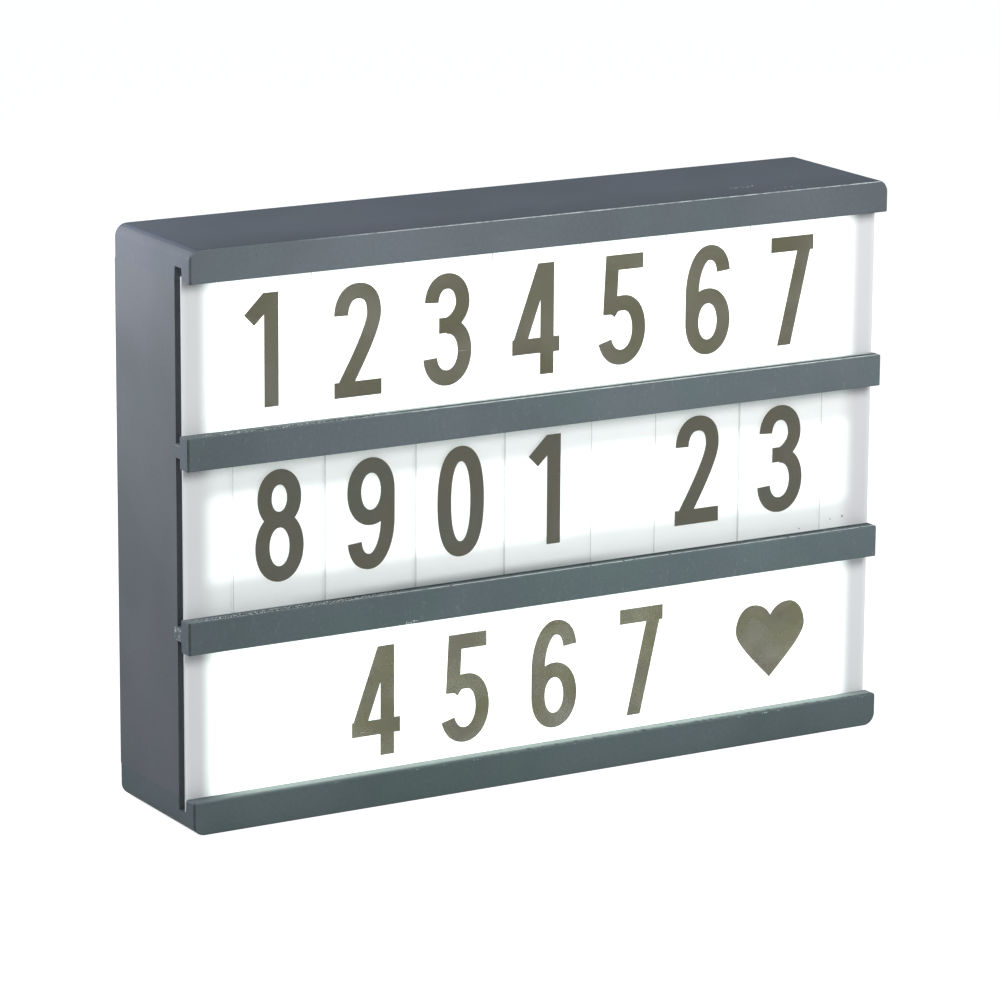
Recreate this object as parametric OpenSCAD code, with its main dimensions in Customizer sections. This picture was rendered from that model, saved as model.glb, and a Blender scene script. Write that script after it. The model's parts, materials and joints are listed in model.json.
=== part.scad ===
// Cinema light box. A painted wooden case has three windows. In each, loose printed tiles stand
// in a channel behind the rails, in front of a lit diffuser strip. The back panel carries the
// lamps, a battery box with a sliding cover, and a small board with the switch and the socket.
// X runs to the right, Y to the back and Z up. The origin is the middle of the base.

/* [Case] */
// Width of the boards
body_w = 220; // [214:1:320]
// Depth from the front of the rails to the back edge
body_d = 44; // [42:1:70]
// Radius of the four long outer corners
corner_r = 3.5; // [1:0.5:7]
// Thickness of the side boards
side_t = 8; // [6:0.5:12]
// Depth of the bars behind the middle rails
cross_bar_d = 7.4; // [4:0.2:10]
// Length of each side of the corner blocks
block_w = 14; // [12:0.5:18]
// Length of the corner blocks along the corner
block_l = 12; // [10:0.5:16]

/* [Windows and rails] */
// Clear height of each window
window_h = 41; // [38:1:60]
// Thickness of the top and bottom boards, and height of their front lips
end_rail_h = 9.2; // [8:0.1:14]
// Height of the two middle rails
rail_h = 9; // [7.5:0.1:14]
// Thickness of the rails and lips in front of the tile channel
rail_t = 4.6; // [3:0.1:6]
// Width of the tile channel from front to back
channel_w = 4; // [3:0.1:6]
// Depth of the grooves above and below the web of a middle rail
mid_groove = 2.7; // [2:0.1:3.2]
// Depth of the grooves in the top and bottom boards
end_groove = 3.8; // [3:0.1:4.4]
// How far the hand-fitted middle rails sit to the left of the boards
rail_slip = 1; // [0:0.1:2]

/* [Tiles and diffusers] */
// Width of a tile
tile_w = 27.6; // [24:0.1:28]
// Thickness of a tile
tile_t = 0.4; // [0.3:0.05:0.6]
// Gap between the rails and the tiles
tile_front_gap = 0.15; // [0.1:0.05:0.3]
// Free height above a tile in its channel
tile_play = 0.4; // [0.2:0.1:0.8]
// Gaps between neighbouring tiles, top row first
tile_gaps = [0.1, 0.3, 0.6];
// Distances from the left end of the box to the first tile, top row first
row_starts = [11.1, 14.9, 44.5];
// Empty lengths between the two words of a row, top row first
word_gaps = [0, 20.5, 15.2];
// Thickness of a diffuser strip
diffuser_t = 0.6; // [0.4:0.1:1]
// Gap between the tiles and the diffusers
diffuser_gap = 0.45; // [0.3:0.05:0.8]
// Free height above a diffuser in its channel
diffuser_play = 1.4; // [0.4:0.1:2]
// How far the diffusers stop short of each end of the box
diffuser_inset = 0.5; // [0:0.1:2]

/* [Back panel] */
// Thickness of the back panel
panel_t = 3; // [2:0.5:5]
// Width of the ledge that the panel lies on
rebate_w = 4; // [2.5:0.5:5]
// Depth of the panel below the back edge, which is the thickness of the rims on it
rim_t = 1.5; // [1.5:0.1:2.5]
// Gap around the panel and around what passes through it
panel_gap = 0.25; // [0.1:0.05:0.5]
// Thickness of the white reflector sheet on the panel's inner face
reflector_t = 0.4; // [0.2:0.1:1]
// Distance of the panel screws from both walls of their corner
screw_inset = 4.5; // [4:0.1:5]
// Distance of the hanging holes from the middle of the box
keyhole_x = 60; // [45:1:75]
// Distance of the hanging holes below the top board
keyhole_drop = 10.7; // [9:0.1:12]
// Radius of a hanging hole's mouth
keyhole_r = 4; // [3:0.25:4.5]
// Width of a hanging hole's slot
keyhole_slot_w = 4.2; // [3:0.1:5]
// Rise of the slot above the mouth
keyhole_rise = 6.5; // [5:0.1:8]

/* [Batteries] */
// Radius of a cell
cell_r = 7.05; // [6.8:0.05:7.25]
// Length of a cell without its nub
cell_l = 49; // [48:0.5:50]
// Radius of the nub
nub_r = 2.7; // [2:0.1:3]
// Length of the nub
nub_l = 1; // [0.8:0.1:1.5]
// Distance between the axes of neighbouring cells
cell_pitch = 15; // [14.8:0.1:18]
// Gap around a cell in its cradle
cell_play = 0.1; // [0.05:0.05:0.3]
// Thickness of the battery box walls
tray_wall = 2; // [1.6:0.1:2.5]
// Width of the battery box flange on the panel
flange_w = 3; // [2.5:0.1:5]
// Thickness of the lips that hold the cover down
lip_t = 0.6; // [0.5:0.05:0.8]
// Width of the lips over the cover
lip_w = 1.2; // [1:0.1:2]
// How far the cover laps over the battery box walls
cover_lap = 0.6; // [0.4:0.1:0.8]
// Gap between the cover and what guides it
cover_gap = 0.15; // [0.1:0.01:0.2]
// Depth of the cover's face below the back edge
cover_drop = 0.5; // [0.4:0.05:0.6]
// How far the cover reaches below the battery box
cover_tail = 2; // [1:0.1:4]
// Thickness of the contact plates
contact_t = 0.4; // [0.3:0.05:0.6]
// Width and height of a contact plate
contact_w = 10; // [8:0.1:10]
// Length of a contact spring between plate and cell
spring_l = 3.2; // [2.5:0.1:5]
// Radius of a spring at the plate
spring_r = 4; // [3:0.1:4.5]
// Radius of a spring at the cell
spring_tip_r = 2.4; // [1.5:0.1:3]
// Thickness of the spring wire
spring_wire = 0.6; // [0.4:0.05:0.8]

/* [Switch and socket] */
// Distance of the switch plate to the left of the battery box
plate_offset = 68; // [66:0.5:69]
// Width of the switch plate's cup
cup_w = 44; // [42:0.5:46]
// Height of the switch plate's cup
cup_h = 20; // [18:0.5:24]
// Thickness of the cup's walls
cup_wall = 1.2; // [1:0.1:2]
// Width of the rim around the cup
cup_rim = 3; // [2:0.1:4]
// Depth of the cup's floor below the back edge
cup_drop = 2; // [1.6:0.1:2.2]
// Thickness of the circuit board
board_t = 1.6; // [1:0.1:2]
// Height of the posts between the cup and the board
post_l = 4.3; // [4.2:0.1:6]
// Radius of the posts
post_r = 2.5; // [2:0.1:3]
// Distance of the posts from the middle of the plate
post_x = 17; // [16:0.1:17.5]
// Distance of the switch from the middle of the plate
switch_x = 7; // [6.5:0.1:7.5]
// Travel of the switch
switch_travel = 3; // [2:0.1:4]
// Width and height of the switch knob
knob_w = 3; // [2:0.1:3.5]
// Distance of the socket from the middle of the plate
socket_x = 7; // [6:0.1:8]
// Width of the socket shell
socket_w = 8.9; // [7:0.1:9]
// Height of the socket shell
socket_h = 3.2; // [2.6:0.1:4]
// Thickness of the socket shell
socket_wall = 0.3; // [0.2:0.05:0.5]

/* [Lamps] */
// Length of a lamp strip
strip_l = 184; // [170:1:188]
// Height of a lamp strip
strip_h = 10; // [8:0.5:12]
// Thickness of a lamp strip
strip_t = 0.6; // [0.4:0.1:1.6]
// Distance of a strip below the middle of its window
strip_drop = 3; // [2:0.1:4]
// Number of lamps on a strip
lamp_count = 5; // [3:1:9]
// Width and height of a lamp
lamp_w = 5; // [3:0.1:6]
// Thickness of a lamp
lamp_t = 1.4; // [0.8:0.1:2]
// Radius of the wires
wire_r = 0.7; // [0.5:0.05:0.9]

/* [Hidden] */
rows = 3;
tiles_in_row = [7, 6, 5];
first_word = [7, 4, 4]; // tiles before the gap between words

$fn = 48;
cut = 1; // how far a cut runs past the face it opens

// Planes from front to back
front = -body_d / 2;
back = body_d / 2;
channel_y = front + rail_t;
board_y = channel_y + channel_w;
tile_y = channel_y + tile_front_gap;
diffuser_y = tile_y + tile_t + diffuser_gap;
panel_back = back - rim_t;
panel_front = panel_back - panel_t;
reflector_y = panel_front - reflector_t;

// Levels of the rows, where row 1 is the top one
body_h = 2 * end_rail_h + (rows - 1) * rail_h + rows * window_h;
web_h = rail_h - 2 * mid_groove;
inner_w = body_w - 2 * side_t;
inner_h = body_h - 2 * end_rail_h;
tile_h = window_h + 2 * mid_groove - tile_play;
diffuser_h = window_h + 2 * mid_groove - diffuser_play;
function window_z(row) = end_rail_h + (rows - row) * (window_h + rail_h);
function channel_z(row) = window_z(row) - (row == rows ? end_groove : mid_groove);
function tile_x(row, i) = -body_w / 2 + row_starts[row - 1]
    + (i - 1) * (tile_w + tile_gaps[row - 1])
    + (i > first_word[row - 1] ? word_gaps[row - 1] : 0);

// Battery box, in the middle of the panel behind the middle window
cells = 3;
battery_z = window_z(2) + window_h / 2;
cradle_r = cell_r + cell_play;
cell_top_gap = 0.4; // between the cells and the plane of the panel's outer face
cell_y = panel_back - cell_top_gap - cell_r;
cavity_w = nub_l + cell_l + spring_l + 2 * contact_t;
cavity_h = (cells - 1) * cell_pitch + 2 * cradle_r;
tray_w = cavity_w + 2 * tray_wall;
tray_h = cavity_h + 2 * tray_wall;
tray_y = cell_y - cradle_r - tray_wall;
tray_z = battery_z - tray_h / 2;
snap_w = 8;
snap_l = 4;
snap_out = 0.9;
cell_bevel = 0.6;
function cell_z(i) = battery_z + (2 - i) * cell_pitch; // cell 1 is the top one
function nub_side(i) = i % 2 == 1 ? -1 : 1; // the nubs point left, right, left

// Battery cover
cover_w = cavity_w + 2 * cover_lap;
cover_top = battery_z + cavity_h / 2 + cover_lap;
cover_bottom = tray_z - cover_tail;
grip_top = 6; // from the cover's top edge to its first ridge
grip_ridges = 6;
grip_pitch = 1.6;
grip_w = 18;
grip_t = 0.7;
grip_out = 0.3;
arrow_w = 6;
arrow_h = 5;
arrow_gap = 5; // between the last ridge and the arrow

// Solder tabs of the contact plates
tab_w = 3;
tab_l = 3;
tab_drop = 1; // of the tabs behind the cells' axes
tab_y = cell_y + tab_drop;

// Switch plate and circuit board
plate_x = -plate_offset;
plate_z = battery_z;
cup_floor = back - cup_drop;
cup_inside = cup_floor - cup_wall;
board_back = cup_inside - post_l;
board_front = board_back - board_t;
board_edge = 1; // between the board's edge and the outside of the cup
pilot_r = 0.95;
board_screw_r = 0.9;
switch_w = 12;
switch_h = 6;
switch_t = 3.9;
switch_wall = 0.5;
slider_gap = 0.2;
slider_t = 1.4;
slider_edge = 1;
knob_top = back - 0.2;
knob_grooves = 3;
groove_pitch = 0.8;
groove_d = 0.3;
tongue_side = 1.1; // between the tongue's edge and the outside of the shell
tongue_w = socket_w - 2 * tongue_side;
tongue_h = 0.7;
tongue_drop = 0.8;
switch_at = plate_x - switch_x;
socket_at = plate_x + socket_x;
resistor_r = 1.1;
resistor_l = 6.4;
resistor_rise = 3.5; // above the middle of the board
resistor_gap = 0.5; // between the resistor and the board
lead_r = 0.3;
lead_l = 2; // from an end of the resistor to the bend in its lead

// Screws of the back panel
screw_r = 1.15;
screw_hole_r = 1.6;
screw_bore_r = 1.2;
screw_head_r = 2.8;
screw_head_t = 1.4;
screw_grip = 8; // length of a panel screw in its corner block
screw_l = panel_t + reflector_t + screw_grip;
board_screw_end = 0.5; // between a board screw's tip and the floor of the cup
board_head_r = 1.8;
board_head_t = 1.2;
cross_w = 0.5;

// Lamps
function strip_z(row) = window_z(row) + window_h / 2 - strip_drop;
strip_y = reflector_y - strip_t;
lamp_pitch = strip_l / lamp_count;

// Wires, and the pads on the board that they start from, counted from its middle
pad_z = 7;
battery_pad = 18;
red_pad = -18;
black_pad = -14;
strip_pad_z = 3; // of the pads on a lamp strip, from its middle
wire_out = 4; // between the board and the wires in front of it
wire_y = board_front - wire_out;
wire_end = 2.5; // straight length at the end of a wire
wire_bend = 5;
wire_gap = 4; // between the battery box and the wire that passes below it
tab_at = tray_w / 2 + 0.6 * tab_l;

// Colours
paint = "slategray";
raw_wood = "burlywood";
steel = "silver";
plastic = "dimgray";

// ---- shared shapes ----

// Lays a drawing of the X-Z plane between two depths
module between(y_front, y_back)
    translate([0, y_back, 0]) rotate([90, 0, 0]) linear_extrude(y_back - y_front) children();

// A box from its lowest corner and its size in Y, with X centred on x and Z on z
module block_at(x, z, w, h, y_front, y_back)
    between(y_front, y_back) translate([x - w / 2, z - h / 2]) square([w, h]);

// A round bar along Y
module rod_at(x, z, r, y_front, y_back)
    translate([x, y_back, z]) rotate([90, 0, 0]) cylinder(r = r, h = y_back - y_front);

// A turned screw along Y: its head's underside at y, its shank towards the front
module screw_at(x, z, y, shank_r, shank_l, head_r, head_t) {
    tip = 1.5 * shank_r;
    flat = 0.6 * head_r;
    edge = 0.4 * head_t;
    slot_l = 1.1 * head_r;
    slot_d = 0.55 * head_t;
    translate([x, y, z]) rotate([90, 0, 0]) difference() {
        rotate_extrude() polygon([[0, -head_t], [flat, -head_t], [head_r, -edge], [head_r, 0],
            [shank_r, 0], [shank_r, shank_l - tip], [0, shank_l]]);
        for (turn = [0, 90]) rotate([0, 0, turn])
            translate([-slot_l / 2, -cross_w / 2, -head_t - cut]) cube([slot_l, cross_w, cut + slot_d]);
    }
}

// Corners of a path cut off twice, which rounds its bends and keeps its two ends
function cut_corners(p) = concat([p[0]],
    [for (i = [0:len(p) - 2], s = [0.25, 0.75])
        if (!(i == 0 && s == 0.25) && !(i == len(p) - 2 && s == 0.75)) p[i] + s * (p[i + 1] - p[i])],
    [p[len(p) - 1]]);
function smooth(p) = cut_corners(cut_corners(p));
function unit(v) = v / norm(v);
function square_to(v, t) = unit(v - (v * t) * t);
function headings(p) = [for (i = [0:len(p) - 1])
    unit(p[min(i + 1, len(p) - 1)] - p[max(i - 1, 0)])];

// A round tube along a path, whose ring is carried from point to point without a twist
module tube(p, r, sides = 8) {
    t = headings(p);
    last = len(p) - 1;
    start = abs(t[0][2]) < 0.9 ? [0, 0, 1] : [1, 0, 0];
    n = [for (i = 0, v = square_to(start, t[0]); i <= last;
        i = i + 1, v = square_to(v, t[min(i, last)])) v];
    points = [for (i = [0:last], k = [0:sides - 1])
        p[i] + r * (cos(360 * k / sides) * n[i] + sin(360 * k / sides) * cross(t[i], n[i]))];
    walls = [for (i = [0:last - 1], k = [0:sides - 1]) let (j = (k + 1) % sides)
        [i * sides + k, (i + 1) * sides + k, (i + 1) * sides + j, i * sides + j]];
    ends = [[for (k = [0:sides - 1]) k], [for (k = [sides - 1:-1:0]) last * sides + k]];
    polyhedron(points, concat(walls, ends), convexity = 6);
}

// ---- case ----

// Outline of an end board seen from the front, inner face at zero
module board_outline() intersection() {
    translate([-body_w / 2, 0]) square([body_w, end_rail_h]);
    union() {
        translate([-body_w / 2, 0]) square([body_w, end_rail_h - corner_r]);
        translate([corner_r - body_w / 2, 0]) square([body_w - 2 * corner_r, end_rail_h]);
        for (side = [-1, 1]) translate([side * (body_w / 2 - corner_r), end_rail_h - corner_r])
            circle(corner_r);
    }
}

// An end board: a groove for the tiles behind its lip, and a ledge for the panel
module end_board() difference() {
    between(front, back) board_outline();
    translate([-body_w / 2 - cut, channel_y, -cut])
        cube([body_w + 2 * cut, channel_w, end_groove + cut]);
    translate([-inner_w / 2 - rebate_w, panel_front, -cut])
        cube([inner_w + 2 * rebate_w, back - panel_front + cut, rebate_w + cut]);
}
module top_board() color(paint) translate([0, 0, body_h - end_rail_h]) end_board();
module bottom_board() color(paint) translate([0, 0, end_rail_h]) mirror([0, 0, 1]) end_board();

module right_side() difference() {
    translate([inner_w / 2, board_y, end_rail_h]) cube([side_t, back - board_y, inner_h]);
    translate([inner_w / 2 - cut, panel_front, end_rail_h - cut])
        cube([rebate_w + cut, back - panel_front + cut, inner_h + 2 * cut]);
}
module right_board() color(paint) right_side();
module left_board() color(paint) mirror([1, 0, 0]) right_side();

// A middle rail: a front strip with a web behind it that closes the channels of two rows
module middle_rail(row) translate([-body_w / 2 - rail_slip, front, window_z(row) - rail_h])
    rotate([90, 0, 90]) linear_extrude(body_w) {
        square([rail_t, rail_h]);
        translate([rail_t, mid_groove]) square([channel_w, web_h]);
    }
module upper_rail() color(paint) middle_rail(1);
module lower_rail() color(paint) middle_rail(2);

// A bar between the side boards that a middle rail is glued to
module cross_bar(row) color(raw_wood)
    translate([-inner_w / 2, board_y, window_z(row) - rail_h + mid_groove])
        cube([inner_w, cross_bar_d, web_h]);
module upper_cross_bar() cross_bar(1);
module lower_cross_bar() cross_bar(2);

// Sets its children in the four inner corners of the case, drawn for the lower left one
module in_corners() for (right = [0, 1], top = [0, 1])
    translate([0, 0, body_h / 2]) mirror([right, 0, 0]) mirror([0, 0, top])
        translate([-inner_w / 2, 0, -inner_h / 2]) children();

module corner_blocks() color(raw_wood) in_corners() difference() {
    between(reflector_y - block_l, reflector_y) polygon([[0, 0], [block_w, 0], [0, block_w]]);
    rod_at(screw_inset, screw_inset, screw_bore_r, panel_back - screw_l - cut, panel_front);
}

// ---- back ----

module keyhole_outline() {
    circle(keyhole_r);
    translate([-keyhole_slot_w / 2, 0]) square([keyhole_slot_w, keyhole_rise]);
    translate([0, keyhole_rise]) circle(keyhole_slot_w / 2);
}

// Everything that is cut through the panel and the reflector sheet
module panel_cuts() {
    depth = [reflector_y - cut, panel_back + cut];
    block_at(0, battery_z, tray_w + 2 * panel_gap, tray_h + 2 * panel_gap, depth[0], depth[1]);
    block_at(plate_x, plate_z, cup_w + 2 * panel_gap, cup_h + 2 * panel_gap, depth[0], depth[1]);
    for (side = [-1, 1]) between(depth[0], depth[1])
        translate([side * keyhole_x, body_h - end_rail_h - keyhole_drop]) keyhole_outline();
    in_corners() rod_at(screw_inset, screw_inset, screw_hole_r, depth[0], depth[1]);
}

module back_panel() color("gray") difference() {
    w = inner_w + 2 * (rebate_w - panel_gap);
    h = inner_h + 2 * (rebate_w - panel_gap);
    block_at(0, body_h / 2, w, h, panel_front, panel_back);
    panel_cuts();
}

module reflector_sheet() color("white") difference() {
    block_at(0, body_h / 2, inner_w - 2 * panel_gap, inner_h - 2 * panel_gap,
        reflector_y, panel_front);
    panel_cuts();
}

module panel_screws() color(steel) in_corners()
    screw_at(screw_inset, screw_inset, panel_back, screw_r, screw_l, screw_head_r, screw_head_t);

// ---- windows ----

module diffuser(row) color("white")
    translate([diffuser_inset - body_w / 2, diffuser_y, channel_z(row)])
        cube([body_w - 2 * diffuser_inset, diffuser_t, diffuser_h]);

module tile(row, i) color("lightcyan", 0.5)
    translate([tile_x(row, i), tile_y, channel_z(row)]) cube([tile_w, tile_t, tile_h]);

// ---- batteries ----

module cell_bar(i, r, w) translate([-w / 2, cell_y, cell_z(i)]) rotate([0, 90, 0])
    cylinder(r = r, h = w);

// A wedge that holds a rim's other side behind the panel, drawn on the top of the box
module snap() rotate([90, 0, 90]) translate([0, 0, -snap_w / 2]) linear_extrude(snap_w)
    polygon([[-snap_l, 0], [0, 0], [0, snap_out]]);

module battery_box() color(plastic) difference() {
    union() {
        block_at(0, battery_z, tray_w, tray_h, tray_y, panel_back);
        block_at(0, battery_z + flange_w / 2, tray_w + 2 * flange_w, tray_h + flange_w,
            panel_back, back);
        for (top = [0, 1]) translate([0, reflector_y - panel_gap, battery_z])
            mirror([0, 0, top]) translate([0, 0, tray_h / 2]) snap();
    }
    for (i = [1:cells]) cell_bar(i, cradle_r, cavity_w);
    block_at(0, battery_z, cavity_w, cavity_h, cell_y, panel_back + cut);
    // way of the cover, under the lips and between them
    way_h = cover_top + cover_gap - tray_z + cut;
    translate([-cover_w / 2 - cover_gap, panel_back, tray_z - cut])
        cube([cover_w + 2 * cover_gap, rim_t - lip_t, way_h]);
    translate([-cover_w / 2 + lip_w, panel_back, tray_z - cut])
        cube([cover_w - 2 * lip_w, rim_t + cut, way_h]);
    // slots for the solder tabs, beside the first and the last cell
    for (end = [[-1, 1], [1, cells]]) block_at(end[0] * (tray_w - tray_wall) / 2, cell_z(end[1]),
        tray_wall + cut, tab_w + 2 * cell_play, tab_y - cell_play, tab_y + contact_t + cell_play);
}

module battery_cover() color(plastic) {
    h = cover_top - cover_bottom;
    middle = (cover_top + cover_bottom) / 2;
    sole = panel_back + cover_gap;
    block_at(0, middle, cover_w, h, sole, back - lip_t - cover_gap);
    block_at(0, middle, cover_w - 2 * lip_w - 2 * cover_gap, h, sole, back - cover_drop);
    for (i = [0:grip_ridges - 1])
        block_at(0, cover_top - grip_top - i * grip_pitch, grip_w, grip_t,
            back - cover_drop, back - cover_drop + grip_out);
    between(back - cover_drop, back - cover_drop + grip_out)
        translate([0, cover_top - grip_top - (grip_ridges - 1) * grip_pitch - arrow_gap])
            polygon([[-arrow_w / 2, 0], [arrow_w / 2, 0], [0, -arrow_h]]);
}

// A cell with its nub to the left or to the right
module battery(i) color("goldenrod") translate([0, cell_y, cell_z(i)])
    mirror([nub_side(i) > 0 ? 1 : 0, 0, 0])
        translate([contact_t - cavity_w / 2, 0, 0]) rotate([0, 90, 0]) rotate_extrude()
            polygon([[0, 0], [nub_r, 0], [nub_r, nub_l], [cell_r - cell_bevel, nub_l],
                [cell_r, nub_l + cell_bevel], [cell_r, nub_l + cell_l - cell_bevel],
                [cell_r - cell_bevel, nub_l + cell_l], [0, nub_l + cell_l]]);

// A contact plate on the left end wall for the cells from first to last
module contact_plate(first, last) translate([-cavity_w / 2, 0, 0]) {
    for (i = [first:last]) translate([0, cell_y - contact_w / 2, cell_z(i) - contact_w / 2])
        cube([contact_t, contact_w, contact_w]);
    if (last > first) translate([0, cell_y + cell_play, cell_z(last)])
        cube([contact_t, contact_w / 2 - cell_play, (last - first) * cell_pitch]);
    if (last == first) translate([-tray_wall - tab_l, tab_y, cell_z(first) - tab_w / 2])
        cube([tray_wall + tab_l + contact_t, contact_t, tab_w]);
}
module contact_plates() color(steel) {
    contact_plate(1, 1);
    contact_plate(2, 3);
    mirror([1, 0, 0]) contact_plate(1, 2);
    mirror([1, 0, 0]) contact_plate(3, 3);
}

// Conical springs that press on the flat ends of the cells
module contact_springs() color(steel) {
    turns = 3.5;
    steps = 12;
    touch_gap = 0.02; // keeps the wire off the plate and the cell
    half = spring_wire / 2 + touch_gap;
    for (i = [1:cells]) mirror([nub_side(i) > 0 ? 1 : 0, 0, 0])
        tube([for (k = [0:turns * steps]) let (s = k / (turns * steps),
                r = spring_r + s * (spring_tip_r - spring_r), a = 360 * turns * s)
            [cavity_w / 2 - contact_t - half - s * (spring_l - 2 * half),
             cell_y + r * cos(a), cell_z(i) + r * sin(a)]], spring_wire / 2, 6);
}

// ---- switch and socket ----

module stadium(w, h) {
    square([w - h, h], center = true);
    for (side = [-1, 1]) translate([side * (w - h) / 2, 0]) circle(h / 2);
}

module switch_plate() color(plastic) difference() {
    union() {
        block_at(plate_x, plate_z, cup_w + 2 * cup_rim, cup_h + 2 * cup_rim, panel_back, back);
        block_at(plate_x, plate_z, cup_w, cup_h, cup_inside, panel_back);
        for (side = [-1, 1]) rod_at(plate_x + side * post_x, plate_z, post_r,
            board_back, cup_inside + cut / 2);
    }
    block_at(plate_x, plate_z, cup_w - 2 * cup_wall, cup_h - 2 * cup_wall, cup_floor, back + cut);
    for (side = [-1, 1]) rod_at(plate_x + side * post_x, plate_z, pilot_r,
        board_back - cut, board_back + post_l);
    block_at(switch_at, plate_z, knob_w + switch_travel + 4 * slider_gap, knob_w + 4 * slider_gap,
        cup_inside - cut, cup_floor + cut);
    between(cup_inside - cut, cup_floor + cut) translate([socket_at, plate_z])
        stadium(socket_w + 2 * slider_gap, socket_h + 2 * slider_gap);
}

module circuit_board() color("seagreen") difference() {
    block_at(plate_x, plate_z, cup_w - 2 * board_edge, cup_h - 2 * board_edge,
        board_front, board_back);
    for (side = [-1, 1]) rod_at(plate_x + side * post_x, plate_z, pilot_r + slider_gap,
        board_front - cut, board_back + cut);
}

module board_screws() color(steel) for (side = [-1, 1])
    translate([0, board_front, 0]) mirror([0, 1, 0])
        screw_at(plate_x + side * post_x, plate_z, 0, board_screw_r, board_t + post_l - board_screw_end,
            board_head_r, board_head_t);

module switch_frame() color(steel) difference() {
    block_at(switch_at, plate_z, switch_w, switch_h, board_back, board_back + switch_t);
    block_at(switch_at, plate_z, switch_w - 2 * switch_wall, switch_h - 2 * switch_wall,
        board_back + switch_wall, board_back + switch_t - switch_wall);
    block_at(switch_at, plate_z, knob_w + switch_travel + 2 * slider_gap, knob_w + 2 * slider_gap,
        board_back + switch_t - cut, board_back + switch_t + cut);
}

// The slider rests at the right end of its travel, which is on
module switch_slider() color("black") difference() {
    x = switch_at + switch_travel / 2;
    top = board_back + switch_t - switch_wall - slider_gap;
    union() {
        block_at(x, plate_z, knob_w + 2 * slider_edge, switch_h - 2 * switch_wall - 2 * slider_gap,
            top - slider_t, top);
        block_at(x, plate_z, knob_w, knob_w, top - slider_t, knob_top);
    }
    for (i = [0:knob_grooves - 1])
        block_at(x + (i - (knob_grooves - 1) / 2) * groove_pitch, plate_z,
            groove_d, knob_w + cut, knob_top - groove_d, knob_top + cut);
}

module socket_shell() color(steel) difference() {
    between(board_back, cup_floor) translate([socket_at, plate_z]) stadium(socket_w, socket_h);
    between(board_back + socket_wall, cup_floor + cut) translate([socket_at, plate_z])
        stadium(socket_w - 2 * socket_wall, socket_h - 2 * socket_wall);
}
module socket_tongue() color("black") block_at(socket_at, plate_z, tongue_w, tongue_h,
    board_back + socket_wall, cup_floor - tongue_drop);

// A small resistor on two bent leads, between the screws on the front of the board
module resistor() color("tan") {
    span = resistor_l + 2 * lead_l;
    stand_y = board_front - resistor_r - resistor_gap;
    z = plate_z + resistor_rise;
    translate([plate_x - resistor_l / 2, stand_y, z]) rotate([0, 90, 0])
        cylinder(r = resistor_r, h = resistor_l);
    translate([plate_x - span / 2, stand_y, z]) rotate([0, 90, 0]) cylinder(r = lead_r, h = span);
    for (side = [-1, 1]) {
        translate([plate_x + side * span / 2, stand_y, z]) sphere(lead_r);
        rod_at(plate_x + side * span / 2, z, lead_r, stand_y, board_front);
    }
}

// ---- lamps and wires ----

module lamp_strip(row) color("ivory")
    block_at(0, strip_z(row), strip_l, strip_h, strip_y, reflector_y);
module upper_lamp_strip() lamp_strip(1);
module lower_lamp_strip() lamp_strip(3);
module lamps() color("khaki") for (row = [1, 3], i = [0:lamp_count - 1])
    block_at((i - (lamp_count - 1) / 2) * lamp_pitch, strip_z(row), lamp_w, lamp_w,
        strip_y - lamp_t, strip_y);

// A wire from a solder tab to the board, past the points given
module battery_wire(side, i, via, up) {
    pad = [plate_x + battery_pad, plate_z + up * pad_z];
    tube(smooth(concat(
        [[side * tab_at, tab_y, cell_z(i)], [side * tab_at, tab_y - wire_end, cell_z(i)]], via,
        [[pad[0], wire_y, pad[1]], [pad[0], board_front - wire_end, pad[1]],
         [pad[0], board_front, pad[1]]])), wire_r);
}

// A wire from the board to the left end of a lamp strip
module strip_wire(pad_x, row, up) {
    x = plate_x + pad_x;
    z = strip_z(row) - up * strip_pad_z;
    start = plate_z + up * pad_z;
    tube(smooth([[x, board_front, start], [x, wire_y, start], [x, wire_y, start + up * wire_bend],
        [x, wire_y, z - up * wire_bend], [x, strip_y - wire_end, z], [x, strip_y, z]]), wire_r);
}

module red_wires() color("red") {
    battery_wire(-1, 1, [[-tab_at, wire_y, cell_z(1)],
        [-tab_at - wire_bend, wire_y, cell_z(1)]], 1);
    strip_wire(red_pad, 1, 1);
    strip_wire(red_pad, 3, -1);
}

module black_wires() color("black") {
    below = tray_z - wire_gap;
    battery_wire(1, 3, [[tab_at, wire_y, cell_z(3)], [tab_at, wire_y, below + wire_bend],
        [tab_at, wire_y, below], [tab_at - wire_bend, wire_y, below],
        [-tab_at, wire_y, below], [-tab_at - wire_bend, wire_y, below + wire_bend]], -1);
    strip_wire(black_pad, 1, 1);
    strip_wire(black_pad, 3, -1);
}

// ---- parts ----

top_board();
bottom_board();
left_board();
right_board();
upper_rail();
lower_rail();
upper_cross_bar();
lower_cross_bar();
corner_blocks();
back_panel();
reflector_sheet();
panel_screws();
for (row = [1:rows])
    diffuser(row);
for (row = [1:rows], i = [1:tiles_in_row[row - 1]])
    tile(row, i);
battery_box();
battery_cover();
for (i = [1:cells])
    battery(i);
contact_plates();
contact_springs();
switch_plate();
circuit_board();
board_screws();
switch_frame();
switch_slider();
socket_shell();
socket_tongue();
resistor();
upper_lamp_strip();
lower_lamp_strip();
lamps();
red_wires();
black_wires();
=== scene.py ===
import json
import math

import bmesh
import bpy
from mathutils import Matrix, Vector


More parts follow.
